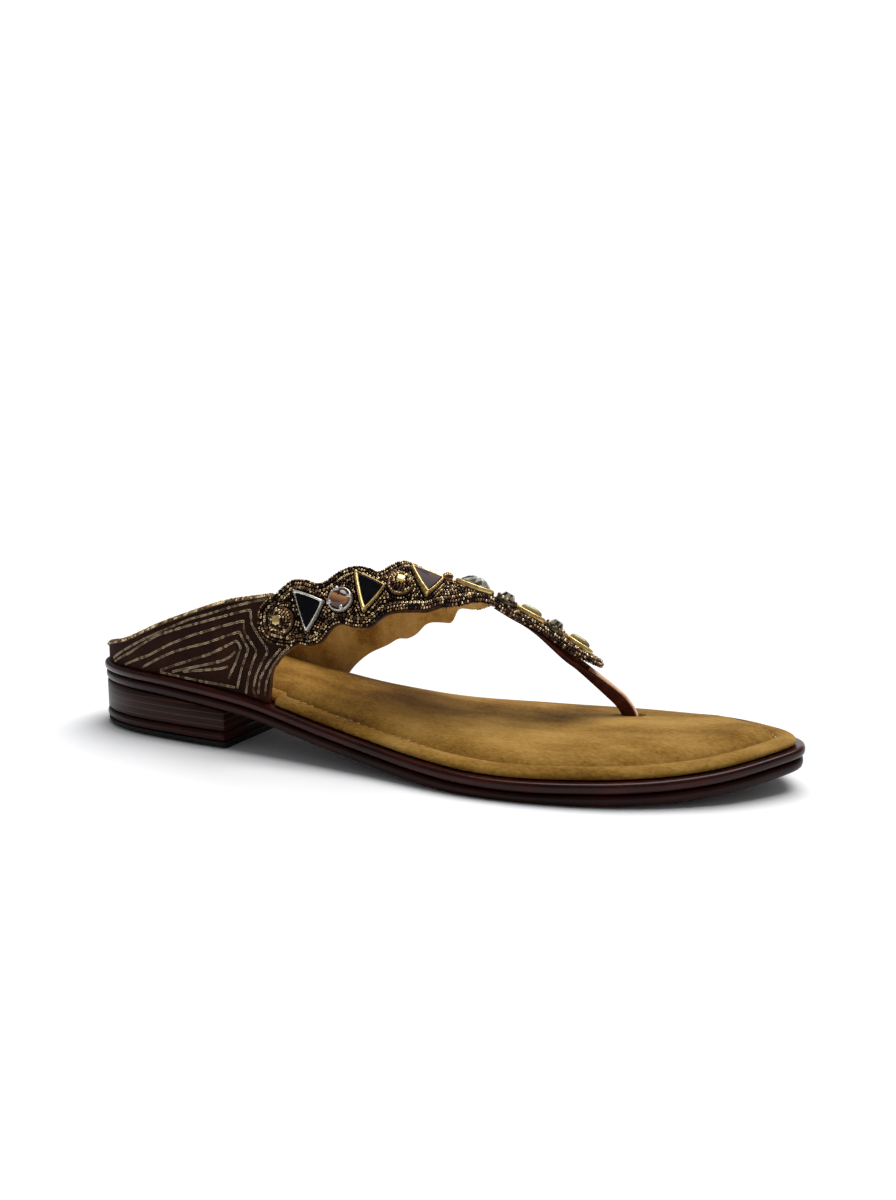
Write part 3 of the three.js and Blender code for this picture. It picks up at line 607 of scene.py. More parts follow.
def set_at_points(tree, given, made, item, rotation, scale, least=0.0):
    """Ends a tree: the item at every point, each with a tone of its own, realized in one finish."""
    placed = add(
        tree, "GeometryNodeInstanceOnPoints",
        {"Points": given["Geometry"], "Instance": item, "Rotation": rotation, "Scale": scale},
    )
    tone = add(tree, "FunctionNodeRandomValue", {2: least, "Seed": given["Seed"]}, data_type="FLOAT")
    stored = add(
        tree, "GeometryNodeStoreNamedAttribute",
        {"Geometry": placed.outputs["Instances"], "Name": "tone", "Value": tone.outputs[1]},
        data_type="FLOAT", domain="INSTANCE",
    )
    real = add(tree, "GeometryNodeRealizeInstances", {"Geometry": stored.outputs["Geometry"]})
    dressed = add(
        tree, "GeometryNodeSetMaterial", {"Geometry": real.outputs["Geometry"], "Material": given["Finish"]}
    )
    tree.links.new(dressed.outputs["Geometry"], made["Geometry"])


# Geometry Nodes tree that sets one thread link at each point, along its tangent and square to its normal.
sewn_line, given, made = new_group(
    "sewn_line",
    {
        "Geometry": "Geometry", "Link Length": 0.0015, "Link Width": 0.001, "Thread Radius": 0.00015,
        "Seed": 1, "Finish": "Material",
    },
    "Geometry",
    "GeometryNodeTree",
)
link_circle = add(sewn_line, "GeometryNodeCurvePrimitiveCircle", {"Resolution": 8, "Radius": 0.5})
link_size = add(
    sewn_line, "ShaderNodeCombineXYZ", {"X": given["Link Length"], "Y": given["Link Width"], "Z": 0.001}
)
link_shape = add(
    sewn_line, "GeometryNodeTransform",
    {"Geometry": link_circle.outputs["Curve"], "Scale": link_size.outputs["Vector"]},
)
link_turn = add(
    sewn_line, "FunctionNodeAlignRotationToVector",
    {"Rotation": facing_out(sewn_line), "Vector": vector_at_points(sewn_line, "tangent")},
    axis="X", pivot_axis="Z",
)
set_at_points(
    sewn_line, given, made,
    swept_ring(sewn_line, link_shape.outputs["Geometry"], 4, given["Thread Radius"]),
    link_turn.outputs["Rotation"],
    random_vector(sewn_line, (0.85, 0.85, 0.85), (1.15, 1.15, 1.15), given["Seed"]),
)


def input_name(tree, label):
    sockets = [item for item in tree.interface.items_tree if item.item_type == "SOCKET"]
    return next(socket.identifier for socket in sockets if socket.name == label)


def grow(name, tree, points, vectors, sizes):
    """Plain mesh that a Geometry Nodes tree grows on points that carry the given vectors."""
    mesh = bpy.data.meshes.new(name + "_seeds")
    placed = (np.asarray(points) - np.array([*SOLE_MIDDLE, 0])) / 1000
    mesh.from_pydata([tuple(p) for p in placed], [], [])
    for label, values in vectors.items():
        layer = mesh.attributes.new(label, "FLOAT_VECTOR", "POINT")
        layer.data.foreach_set("vector", np.asarray(values, np.float32).ravel())
    seeds = show(name + "_seeds", mesh)
    modifier = seeds.modifiers.new("grow", "NODES")
    modifier.node_group = tree
    for label, value in sizes.items():
        modifier[input_name(tree, label)] = value
    grown = evaluated_mesh(seeds)
    bpy.data.objects.remove(seeds)
    grown.name = name
    grown.polygons.foreach_set("use_smooth", [True] * len(grown.polygons))
    return show(name, grown)


def unit(vectors):
    return vectors / np.linalg.norm(vectors, axis=-1, keepdims=True)


def spaced(path, pitch):
    """Points at an even pitch along a path, with the unit tangent at each."""
    path = np.asarray(path, float)
    lengths = running_length(path)
    count = max(int(round(lengths[-1] / pitch)), 1)
    at = (np.arange(count) + 0.5) * lengths[-1] / count
    behind, points, ahead = (
        np.stack([np.interp(at + step, lengths, path[:, k]) for k in range(3)], 1)
        for step in (-0.1, 0, 0.1)
    )
    return points, unit(ahead - behind)


def tone_of_each(tree):
    """The tone that each stitch or bead carries."""
    return add(tree, "ShaderNodeAttribute", attribute_name="tone").outputs["Fac"]


def thread_material(name, dark, light, roughness):
    """Thread whose tone changes from one stitch to the next."""
    material, tree, shader = new_material(name, Roughness=roughness)
    dye(tree, shader, tone_of_each(tree), (0.05, dark), (0.95, light))
    return material


seam_path = footbed_border(SEAM_INSET - 0.1, 2.25)
seam_points, seam_tangents = spaced(seam_path, PUCKER_PITCH)
seam_stitches = grow(
    "footbed_seam_stitches",
    sewn_line,
    seam_points,
    {"tangent": seam_tangents, "normal": np.tile((0, 0, 1), (len(seam_points), 1))},
    {
        "Link Length": 0.0019,
        "Link Width": 0.0003,
        "Thread Radius": 0.00022,
        "Finish": thread_material("footbed_thread", srgb(150, 118, 64), srgb(196, 164, 108), 0.7),
    },
)
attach(seam_stitches, "root")


# Upper
# Brown suede panels that rise from the sole on each side and run into one jewelled band over the instep,
# all lined with tan nubuck. The panels are cemented down inside the welt and the edges are painted copper.
LAST_RIDGE = {
    0: 62, 60: 64, 92: 69.5, 110: 69, 120: 67.5, 128: 64.8, 135: 61, 142: 58.2, 150: 55.8, 157: 53.2,
    165: 49.0, 173: 44.8, 180: 40.2, 188: 35.2, 194: 31.5, 206: 24,
}
LAST_SECTION = {0: 2.2, 60: 2.2, 100: 2.05, 130: 1.75, 160: 1.75, 206: 1.9}
LATERAL_BACK = {
    3: -85, 8: -82.4, 22: -77.8, 46: -63, 67: -52, 87: -48.3, 89.5: -47.5, 91.2: -44.4, 94.6: -39.3,
    99.5: -37.6, 107.4: -36.5, 109.6: -32.7, 111.7: -28.7, 116.6: -23.7, 121: -22.7, 125: -21,
    126.3: -16, 128.2: -6, 130.2: 3, 133: 13,
}
MEDIAL_BACK = {
    3: 85.4, 8: 83, 22: 78.5, 46: 66, 66: 56.5, 84: 53.5, 92: 52.5, 95: 48, 99: 44.2, 105: 43.2, 110: 42.5,
    112.6: 38.5, 116: 34.2, 121: 32.4, 125.5: 31, 128.2: 26, 130.4: 20, 133: 13,
}
LATERAL_FRONT = {
    90: -90, 90.8: -81.5, 93: -75.6, 96.6: -70.2, 100.8: -66, 106.7: -64.2, 110.6: -60.6, 113.2: -55.2,
    121.6: -51.2, 126.6: -48.4, 131.4: -39.8, 139.3: -32.4, 143: -29.8, 147.2: -23.8, 152: -18.6, 157: -12.2,
}
MEDIAL_FRONT = {
    92.6: 90, 95.4: 85.8, 102.2: 77.9, 110.4: 70.9, 114.5: 66.9, 118.2: 65.3, 121.5: 62.1, 126.2: 55.2,
    132.8: 50.2, 136.2: 48, 140.6: 37.4, 146.8: 33.6, 150.4: 29.6, 153.6: 25, 157: 21.6,
}
SHOWN_WALL = 1.6
STRAP_LINE = {133: 2.2, 150: 3, 165: 5.4, 180: 9, 192: 12, 206: 14}
STRAP_TIP = 192.8
STRAP_HALF_WIDTH = 6.9
STRAP_SCALLOP = 0.7
SCALLOP_PITCH = 17.5
SCALLOP_AT = 185.4
BRIDGE_BACK = 133
STRAP_MERGE = (150, 161)
PANEL_BACK = 3
SIDE_ROWS = 36
COLUMN_STEP = 0.8
PANEL_ROUNDING = 0.4

last_ridge = curve_through(LAST_RIDGE)
last_section = curve_through(LAST_SECTION)
strap_across = curve_through(STRAP_LINE)
back_edge = {"lateral": curve_through(LATERAL_BACK), "medial": curve_through(MEDIAL_BACK)}
front_edge = {"lateral": curve_through(LATERAL_FRONT), "medial": curve_through(MEDIAL_FRONT)}


def last_widths(along):
    """Half the last's width, and where its middle lies."""
    medial, lateral = (half_width[side](turn_of(along)) - LEDGE for side in ("medial", "lateral"))
    return (medial + lateral) / 2, (medial - lateral) / 2


def on_last(along, girth):
    """Points of the last, at places along the foot and angles round its girth."""
    along, girth = np.broadcast_arrays(np.asarray(along, float), np.asarray(girth, float))
    half, middle = last_widths(along)
    base = welt_top(along) + LAYER_GAP
    power = 2 / last_section(along)
    reach = signed_power(np.sin(girth), power)
    lift = np.abs(np.cos(girth)) ** power
    return np.stack([along, middle + half * reach, base + (last_ridge(along) - base) * lift], -1)


def last_slopes(along, girth):
    probe = 0.005
    limit = math.pi / 2 - 2 * probe
    girth = np.clip(girth, -limit, limit)
    forwards = (on_last(along + probe, girth) - on_last(along - probe, girth)) / (2 * probe)
    around = (on_last(along, girth + probe) - on_last(along, girth - probe)) / (2 * probe)
    return forwards, around


def last_normal(along, girth):
    forwards, around = last_slopes(along, girth)
    return unit(np.cross(forwards, around))


def girth_across(along, across):
    half, middle = last_widths(along)
    reach = (across - middle) / half
    return np.sign(reach) * np.arcsin(np.minimum(np.abs(reach), 1) ** (last_section(along) / 2))


def strap_half_width(along):
    wave = np.cos(2 * math.pi * (along - SCALLOP_AT) / SCALLOP_PITCH)
    to_tip = np.maximum(STRAP_TIP - along, 0) / STRAP_HALF_WIDTH
    ending = np.where(to_tip < 1, np.sqrt(np.maximum(1 - (1 - np.minimum(to_tip, 1)) ** 2, 0)), 1)
    return (STRAP_HALF_WIDTH + STRAP_SCALLOP * wave) * np.maximum(ending, 0.02)


def front_girth(along, side):
    sign = 1 if side == "medial" else -1
    start = PANEL_FRONT[side]
    edge = np.radians(front_edge[side](along))
    strap = girth_across(along, strap_across(along) + sign * strap_half_width(along))
    merge = smooth_step(*STRAP_MERGE, along)
    return np.where(along < start, sign * math.pi / 2, edge * (1 - merge) + strap * merge)


def inner_girth(along, side):
    """Where the inner end of one side's columns lies: its back edge, then the strap's middle line."""
    back = np.radians(back_edge[side](along))
    middle = girth_across(along, strap_across(along))
    merge = smooth_step(BRIDGE_BACK, STRAP_MERGE[0], along)
    return back * (1 - merge) + middle * merge


# The band over the instep starts at an arc on each side. Its places are along the foot and round the girth,
# in degrees from the top line, on the lateral side.
BAND_START = (
    (88.8, -47.8), (86.3, -50.5), (84.4, -54.1), (84.0, -57.4), (84.3, -60.9), (85.3, -64.2), (87.0, -66.8),
    (90.3, -68.2), (94.0, -68.2), (98.5, -67.4), (101.6, -65.6),
)
MEDIAL_STRETCH = 1.043


def on_side(path, side):
    """A lateral path of the side panel, or the same path carried over to the medial panel."""
    along, girth = np.array(path, float).T
    if side == "lateral":
        return along, np.radians(girth)
    share = (girth + 90) / (back_edge["lateral"](along) + 90)
    along = along * MEDIAL_STRETCH
    return along, np.radians(90 - share * (90 - back_edge["medial"](along)))


def resample(along, girth, pitch):
    """Evenly spaced places on a path over the last."""
    along, girth = np.asarray(along, float), np.asarray(girth, float)
    steps = np.linspace(0, len(along) - 1, 40 * len(along))
    along = np.interp(steps, np.arange(len(along)), along)
    girth = np.interp(steps, np.arange(len(girth)), girth)
    lengths = running_length(on_last(along, girth))
    count = max(int(round(lengths[-1] / pitch)), 2)
    at = np.linspace(0, lengths[-1], count + 1)
    return np.interp(at, lengths, along), np.interp(at, lengths, girth)


def rounded(path):
    """A path with its corners eased."""
    at = np.linspace(0, len(path) - 1, 12 * len(path))
    return curve_through(dict(enumerate(path)))(at)


def band_outline():
    """The band's whole edge: lateral start, lateral front, strap tip, medial front, medial start, back."""
    starts = {}
    for side in ("lateral", "medial"):
        along, girth = on_side(BAND_START, side)
        starts[side] = np.stack([rounded(along), rounded(girth)], 1)
    tip = STRAP_TIP - STRAP_HALF_WIDTH * (1 - np.cos(np.linspace(math.pi / 2, 0.06, 24)))
    fronts, backs = {}, {}
    for side in ("lateral", "medial"):
        begin = starts[side][-1, 0]
        along = np.concatenate([np.arange(begin + 0.5, tip[0], 0.5), tip])
        fronts[side] = np.stack([along, front_girth(along, side)], 1)
        along = np.arange(starts[side][0, 0] + 0.4, BRIDGE_BACK, 0.4)
        backs[side] = np.stack([along, np.radians(back_edge[side](along))], 1)
    return np.concatenate([
        starts["lateral"], fronts["lateral"], fronts["medial"][::-1],
        starts["medial"][::-1], backs["medial"], backs["lateral"][::-1],
    ])


band_edge = band_outline()
band_edge_points = on_last(band_edge[:, 0], band_edge[:, 1])


def inside(outline, along, girth):
    """Which places lie within a closed outline on the last."""
    within = np.zeros(along.shape, bool)
    for (a0, g0), (a1, g1) in zip(outline, np.roll(outline, -1, axis=0)):
        crosses = (g0 > girth) != (g1 > girth)
        if g1 != g0:
            within ^= crosses & (along < (a1 - a0) * (girth - g0) / (g1 - g0) + a0)
    return within


def nearest(points, targets):
    """Distance from each point to the nearest of the targets."""
    best = np.full(len(points), np.inf)
    for i in range(0, len(points), 2000):
        gaps = points[i : i + 2000, None] - targets[None]
        best[i : i + 2000] = np.sqrt((gaps**2).sum(2)).min(1)
    return best


tip_columns = STRAP_TIP - STRAP_HALF_WIDTH * (1 - np.cos(np.linspace(math.pi / 2, 0, 16)))
even_columns = np.arange(PANEL_BACK, tip_columns[0], COLUMN_STEP)
corner_columns = [*PANEL_FRONT.values(), BRIDGE_BACK]
upper_columns = np.unique(np.concatenate([even_columns, tip_columns, corner_columns]))
upper_columns = upper_columns[np.concatenate([[True], np.diff(upper_columns) > 0.05])]
row_share = np.linspace(0, 1, SIDE_ROWS + 1)
upper_places, upper_quads = [], []
for side in ("lateral", "medial"):
    base = len(upper_places) and len(upper_places[0])
    outer = front_girth(upper_columns, side)[:, None]
    inner = inner_girth(upper_columns, side)[:, None]
    girth = outer * (1 - row_share) + inner * row_share
    along = np.broadcast_to(upper_columns[:, None], girth.shape)
    upper_places.append(np.stack([along.ravel(), girth.ravel()], 1))
    width = SIDE_ROWS + 1
    for i in range(len(upper_columns) - 1):
        for row in range(SIDE_ROWS):
            a, b = base + i * width + row, base + (i + 1) * width + row
            quad = (a, b, b + 1, a + 1)
            upper_quads.append(quad if side == "lateral" else quad[::-1])
upper_places = np.concatenate(upper_places)
upper_points = on_last(upper_places[:, 0], upper_places[:, 1])
band_depth = nearest(upper_points, band_edge_points)
band_depth *= np.where(inside(band_edge, upper_places[:, 0], upper_places[:, 1]), 1, -1)
band_depth[upper_places[:, 0] > 108] = np.abs(band_depth[upper_places[:, 0] > 108])
corner_order = np.array(upper_quads).ravel()
upper_uvs = np.stack([band_depth[corner_order], np.degrees(upper_places[corner_order, 1])], 1)

def first_of_map(tree):
    """First coordinate of a piece's map: how deep a place lies in the band, or the tone of a facet, which on
    cut stones is painted glints.
    """
    place = add(tree, "ShaderNodeUVMap").outputs["UV"]
    return add(tree, "ShaderNodeSeparateXYZ", {"Vector": place}).outputs["X"]


cover, cover_tree, cover_shader = new_material("suede_and_satin", Specular_IOR_Level=0.15)
on_band = add(
    cover_tree, "ShaderNodeMapRange",
    {"Value": first_of_map(cover_tree), "From Min": -0.15, "From Max": 0.15},
)
suede_tone = clouded(cover_tree, 75.0, 1400.0, 0.45)
suede_colour = add_ramp(
    cover_tree, suede_tone, [(0.3, srgb(18, 7, 4)), (0.5, srgb(40, 17, 9)), (0.7, srgb(66, 32, 18))]
)
satin_colour = add_ramp(
    cover_tree, suede_tone, [(0.3, srgb(3, 2, 2)), (0.55, srgb(8, 5, 5)), (0.75, srgb(22, 14, 12))]
)
cover_colour = mix_colours(cover_tree, on_band.outputs["Result"], suede_colour, satin_colour)
cover_tree.links.new(cover_colour, cover_shader.inputs["Base Color"])
cover_rough = add(
    cover_tree, "ShaderNodeMapRange", {"Value": on_band.outputs["Result"], "To Min": 0.9, "To Max": 0.6}
)
cover_tree.links.new(cover_rough.outputs["Result"], cover_shader.inputs["Roughness"])
press_grain(cover_tree, cover_shader, 1300.0, 0.0004, 0.6)

# The lining's tan is lighter than the footbed's nubuck: partly its own colour, partly painted light, as it
# faces inwards, away from the light.
upper_lining = nubuck(
    "upper_lining", srgb(150, 106, 44), srgb(204, 160, 86), srgb(230, 192, 122), 60.0, (1, 0.7, 1)
)
edge_paint, edge_tree, edge_shader = new_material(
    "edge_paint", Specular_IOR_Level=0.4, Coat_Weight=0.2, Roughness=0.5
)
edge_copper = add_ramp(
    edge_tree, clouded(edge_tree, 300.0), [(0.3, srgb(38, 18, 12)), (0.7, srgb(96, 52, 34))]
)
edge_band = add(
    edge_tree, "ShaderNodeMapRange",
    {"Value": first_of_map(edge_tree), "From Min": -0.15, "From Max": 0.3},
)
edge_colour = mix_colours(edge_tree, edge_band.outputs["Result"], edge_copper, srgb(20, 12, 10))
edge_tree.links.new(edge_colour, edge_shader.inputs["Base Color"])

upper_finishes = [cover, upper_lining, edge_paint]
upper = make_piece(
    "upper_cover_and_lining", upper_points, upper_quads, upper_finishes, upper_uvs, closed=False
)
mend(upper.data, join=2e-6, dissolve=1e-6, turn=False)
wall = upper.modifiers.new("wall", "SOLIDIFY")
wall.thickness = SHOWN_WALL / 1000
wall.offset = -1
wall.use_rim = True
wall.use_even_offset = False
wall.material_offset = 1
wall.material_offset_rim = 2
soften(upper, PANEL_ROUNDING, 60)
settle_modifiers(upper)
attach(upper, "root")
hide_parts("upper")


# Chain-stitch embroidery
# Metallic thread sewn through each side panel in chain stitch: nested lines that run forward along the
# panel, turn at its front corner and come down to the sole, with short fans behind and in front of them.
# Places are along the foot and round the girth in degrees, on the lateral side.
EMBROIDERY = (
    (
        (13.4, -88.3), (25.8, -80.3), (39.9, -70.8), (54.6, -61.3), (69.4, -54.9), (80.6, -51.5),
        (86.8, -49.8),
    ),
    (
        (14.6, -89.6), (25.9, -83.3), (40.2, -72.1), (52.8, -65.6), (63.7, -60.9), (74.1, -57.2),
        (80.7, -55.3), (81.8, -61.9), (85.1, -66.3), (88.8, -70.3), (89.7, -71.6), (87.1, -76.9),
        (85.0, -81.9), (83.7, -87.4), (84.9, -89.5),
    ),
    (
        (22.5, -89.5), (36.3, -82.9), (46.6, -75.6), (56.9, -69.4), (68.5, -64.1), (78.5, -60.6),
        (79.0, -65.5), (82.4, -69.7), (85.1, -72.7), (83.3, -77.8), (81.9, -82.7), (80.6, -89.3),
    ),
    (
        (32.1, -89.5), (39.5, -84.7), (47.8, -79.4), (56.1, -75.4), (63.6, -72.3), (71.1, -68.4),
        (77.2, -65.7), (78.9, -69.0), (81.5, -72.5), (79.1, -79.9), (76.9, -88.6),
    ),
    (
        (41.9, -88.7), (52.2, -83.6), (65.2, -77.1), (71.5, -73.0), (76.3, -69.6), (78.3, -72.4),
        (76.5, -78.5), (73.2, -85.8),
    ),
    ((47.8, -88.2), (61.6, -82.8), (70.5, -79.2), (73.9, -76.9), (75.9, -74.5)),
    ((53.1, -87.1), (64.0, -84.2), (69.7, -82.6), (73.1, -81.1)),
    ((41.9, -89.4), (52.5, -89.4), (62.6, -89.2), (76.1, -88.4)),
    ((94.8, -69.1), (90.2, -75.7), (86.6, -82.7), (85.9, -88.1)),
    ((99.2, -66.3), (94.9, -71.4), (91.4, -77.4), (89.3, -83.2), (88.7, -87.9)),
)
STITCH_PITCH = 1.3
STITCH_LIFT = 0.12

stitch_points, stitch_tangents, stitch_normals = [], [], []
for side in ("lateral", "medial"):
    for path in EMBROIDERY:
        along, girth = on_side(path, side)
        along, girth = resample(along, girth, STITCH_PITCH)
        stitch_tangents.append(unit(np.diff(on_last(along, girth), axis=0)))
        along, girth = (along[1:] + along[:-1]) / 2, (girth[1:] + girth[:-1]) / 2
        stitch_normals.append(last_normal(along, girth))
        stitch_points.append(on_last(along, girth) + STITCH_LIFT * stitch_normals[-1])
embroidery_thread = thread_material("embroidery_thread", srgb(100, 74, 48), srgb(242, 216, 174), 0.5)
embroidery = grow(
    "chain_stitch_embroidery",
    sewn_line,
    np.concatenate(stitch_points),
    {"tangent": np.concatenate(stitch_tangents), "normal": np.concatenate(stitch_normals)},
    {
        "Link Length": 0.00125, "Link Width": 0.00068, "Thread Radius": 0.000105, "Seed": 11,
        "Finish": embroidery_thread,
    },
)
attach(embroidery, "root")


# Seed beads
# Metal-coated glass beads sewn down in rows that follow every edge of the band, one of them of larger ring
# shaped beads, and in two rows round each stone. The black ground shows between the rows.
BEAD_ROWS = ((0.5, 0.86), (1.62, 0.95), (4.15, 0.9), (5.3, 0.88), (6.45, 0.85), (7.55, 0.85), (8.6, 0.85))
RING_ROW = (2.88, 1.25)
BEAD_GAP = 0.98
BEAD_CELL = 1.5
RIM_ROWS = (-0.5, -1.3)
RIM_START = 147
RIM_PITCH = 0.98
RIM_BEAD = 0.92
STONE_PLACES = {
    "lateral_round_1": (94.7, -58.5), "lateral_triangle_1": (104.8, -50.1),
    "lateral_round_2": (115, -43.2), "lateral_triangle_2": (123.6, -34.7), "lateral_round_3": (132, -24.6),
    "lateral_triangle_3": (139.2, -12.6), "medial_round_1": (99.1, 65.3), "medial_triangle_1": (108, 57.6),
    "medial_round_2": (117.1, 50.7), "medial_triangle_2": (124.7, 42.1), "medial_round_3": (133.3, 32.8),
    "medial_triangle_3": (139.2, 23.3), "centre_round_1": (142.6, 4.2), "centre_navette_1": (151.6, 5.4),
    "centre_round_2": (161.6, 7.4), "centre_navette_2": (169.3, 9.4), "centre_round_3": (176.9, 11.8),
    "centre_navette_3": (184.4, 14.6),
}
STONE_SPIN = {"triangle_2": 1, "triangle_3": 8, "navette_2": 6, "navette_3": 14}
STONE_SIZE = {
    "round_1": 4.5, "round_2": 4.2, "round_3": 4.2, "medial_round_3": 3.4, "centre_round_1": 1.8,
    "centre_round_2": 3.6, "centre_round_3": 3.6, "navette_2": 0.7, "navette_3": 0.7,
}
STONE_STRETCH = {"navette_2": 1.22, "navette_3": 1.22}
TRIANGLE = ((-8, 4.1), (2.2, -8.2), (4.3, 3.4))
TRIANGLE_BOW = 0.3
NAVETTE = {"length": 7, "width": 3.3, "point": 1.4}
STONE_MARGIN = 0.5
EDGE_STEP = 0.12
HALO_ROWS = ((0.85, 0.92), (1.85, 0.86))


def value_for(name, table, usual):
    """A table's value for an ornament: for its whole name, or for its kind and number on any side."""
    return table.get(name, table.get(name.split("_", 1)[1], usual))


def size_of(name):
    return value_for(name, STONE_SIZE, 1)


def plan_of(name, count):
    """Outline of an ornament round its middle: towards the toe and towards the top line."""
    size = size_of(name)
    turns = full_turn(count)
    if "round" in name:
        return size * np.stack([np.cos(turns), np.sin(turns)], 1)
    if "navette" in name:
        width = NAVETTE["width"] * signed_power(np.sin(turns), NAVETTE["point"])
        length = NAVETTE["length"] * value_for(name, STONE_STRETCH, 1)
        return size * np.stack([length * np.cos(turns), width], 1)
    corners = np.array(TRIANGLE, float)
    outline = []
    for corner, following in zip(corners, np.roll(corners, -1, axis=0)):
        edge = following - corner
        outwards = np.array([edge[1], -edge[0]]) / np.hypot(*edge)
        for t in 0.03 + 0.94 * np.linspace(0, 1, count // 3):
            outline.append(corner + edge * t + outwards * TRIANGLE_BOW * 4 * t * (1 - t))
    return size * np.array(outline)


def settle_on_last(points, along, girth):
    """Places on the last nearest to the given points, from places near them."""
    for _ in range(6):
        forwards, around = last_slopes(along, girth)
        miss = points - on_last(along, girth)
        ff, fa, aa = (forwards**2).sum(-1), (forwards * around).sum(-1), (around**2).sum(-1)
        mf, ma = (miss * forwards).sum(-1), (miss * around).sum(-1)
        area = ff * aa - fa**2
        along = along + (aa * mf - fa * ma) / area
        girth = girth + (ff * ma - fa * mf) / area
    return along, girth


def seat_of(name):
    """Middle, normal and plane directions of an ornament on the last."""
    along, girth = STONE_PLACES[name]
    girth = math.radians(girth)
    forwards, _ = last_slopes(np.array(along), np.array(girth))
    normal = last_normal(np.array(along), np.array(girth))
    to_toe = unit(forwards - normal * (forwards @ normal))
    to_top = np.cross(normal, to_toe) * (-1 if girth > 0 else 1)
    spin = math.radians(value_for(name, STONE_SPIN, 0))
    u = to_toe * math.cos(spin) + to_top * math.sin(spin)
    v = to_top * math.cos(spin) - to_toe * math.sin(spin)
    return on_last(along, girth), normal, u, v


def over_seat(name, plan, height):
    """Points over a plan at a height above the flat seat of an ornament."""
    middle, normal, u, v = seat_of(name)
    height = np.broadcast_to(height, len(plan))
    return middle + plan[:, :1] * u + plan[:, 1:] * v + height[:, None] * normal


def beneath(name, plan):
    """The last's own places along and round under an ornament's plan."""
    along, girth = STONE_PLACES[name]
    near = np.full(len(plan), float(along)), np.full(len(plan), math.radians(girth))
    return settle_on_last(over_seat(name, plan, 0), *near)


def on_seat(name, plan, height):
    """Points over a plan at a height above the curved face of the upper."""
    along, girth = beneath(name, plan)
    return on_last(along, girth) + height * last_normal(along, girth)


def outset(plan, by):
    """A plan's outline moved outwards by a distance."""
    sideways = np.roll(plan, -1, axis=0) - np.roll(plan, 1, axis=0)
    return plan + by * unit(np.stack([sideways[:, 1], -sideways[:, 0]], 1))


def clear_of_stones(points, own=None):
    """Which points keep clear of every other ornament's footprint."""
    clear = np.ones(len(points), bool)
    for name in [name for name in STONE_PLACES if name != own]:
        middle, normal, u, v = seat_of(name)
        gap = points - middle
        near = np.abs(gap @ normal) < 6
        flat = np.stack([gap @ u, gap @ v], 1)
        grown = outset(plan_of(name, 36), STONE_MARGIN)
        clear &= ~(near & inside(grown, flat[:, 0], flat[:, 1]))
    return clear


edge_along, edge_girth = resample(
    np.append(band_edge[:, 0], band_edge[0, 0]), np.append(band_edge[:, 1], band_edge[0, 1]), EDGE_STEP
)
edge_line = on_last(edge_along, edge_girth)
edge_normals = last_normal(edge_along, edge_girth)
edge_tangents = unit(np.roll(edge_line, -1, axis=0) - np.roll(edge_line, 1, axis=0))
inwards = np.cross(edge_tangents, edge_normals)
probe_along, probe_girth = settle_on_last(edge_line + 2 * inwards, edge_along, edge_girth)
if inside(band_edge, probe_along, probe_girth).mean() < 0.5:
    inwards = -inwards

bead_rows = {"fine": [], "ring": []}
taken = {}


def lay_row(kind, size, points, normals):
    """Adds beads along a line of points wherever there is still room for one."""
    for place, normal in zip(points, normals):
        cell = tuple((place // BEAD_CELL).astype(int))
        cells_near = itertools.product(*[(c - 1, c, c + 1) for c in cell])
        beside = [other for near in cells_near for other in taken.get(near, ())]
        if all(math.dist(place, other) > BEAD_GAP * size for other in beside):
            bead_rows[kind].append((*place, *normal, size))
            taken.setdefault(cell, []).append(tuple(place))


def lay_edge_row(kind, offset, size):
    along, girth = settle_on_last(edge_line + offset * inwards, edge_along, edge_girth)
    points = on_last(along, girth)
    keep = nearest(points, edge_line[::3]) > 0.95 * offset
    keep &= inside(band_edge, along, girth) & clear_of_stones(points)
    lay_row(kind, size, points[keep], last_normal(along, girth)[keep])


def lay_halo(name, offset, size):
    plan = outset(plan_of(name, 48), offset)
    sides = zip(plan, np.roll(plan, -1, axis=0))
    plan = np.concatenate([np.linspace(start, end, 10, endpoint=False) for start, end in sides])
    along, girth = beneath(name, plan)
    points = on_last(along, girth)
    keep = inside(band_edge, along, girth) & clear_of_stones(points, name)
    keep &= nearest(points, edge_line[::3]) > BEAD_ROWS[0][0]
    lay_row("fine", size, points[keep], last_normal(along, girth)[keep])


for row in BEAD_ROWS[:2]:
    lay_edge_row("fine", *row)
lay_edge_row("ring", *RING_ROW)
for name in STONE_PLACES:
    for row in HALO_ROWS:
        lay_halo(name, *row)
for row in BEAD_ROWS[2:]:
    lay_edge_row("fine", *row)

# Two more rows wrap round the edge of the centre strap, over the thickness of its wall.
for out in RIM_ROWS:
    last_place = edge_line[0] + 9
    on_strap = edge_along > RIM_START
    for place, normal, inward in zip(edge_line[on_strap], edge_normals[on_strap], inwards[on_strap]):
        place = place + out * normal - 0.1 * inward
        if np.linalg.norm(place - last_place) > RIM_PITCH:
            bead_rows["fine"].append((*place, *-inward, RIM_BEAD))
            last_place = place


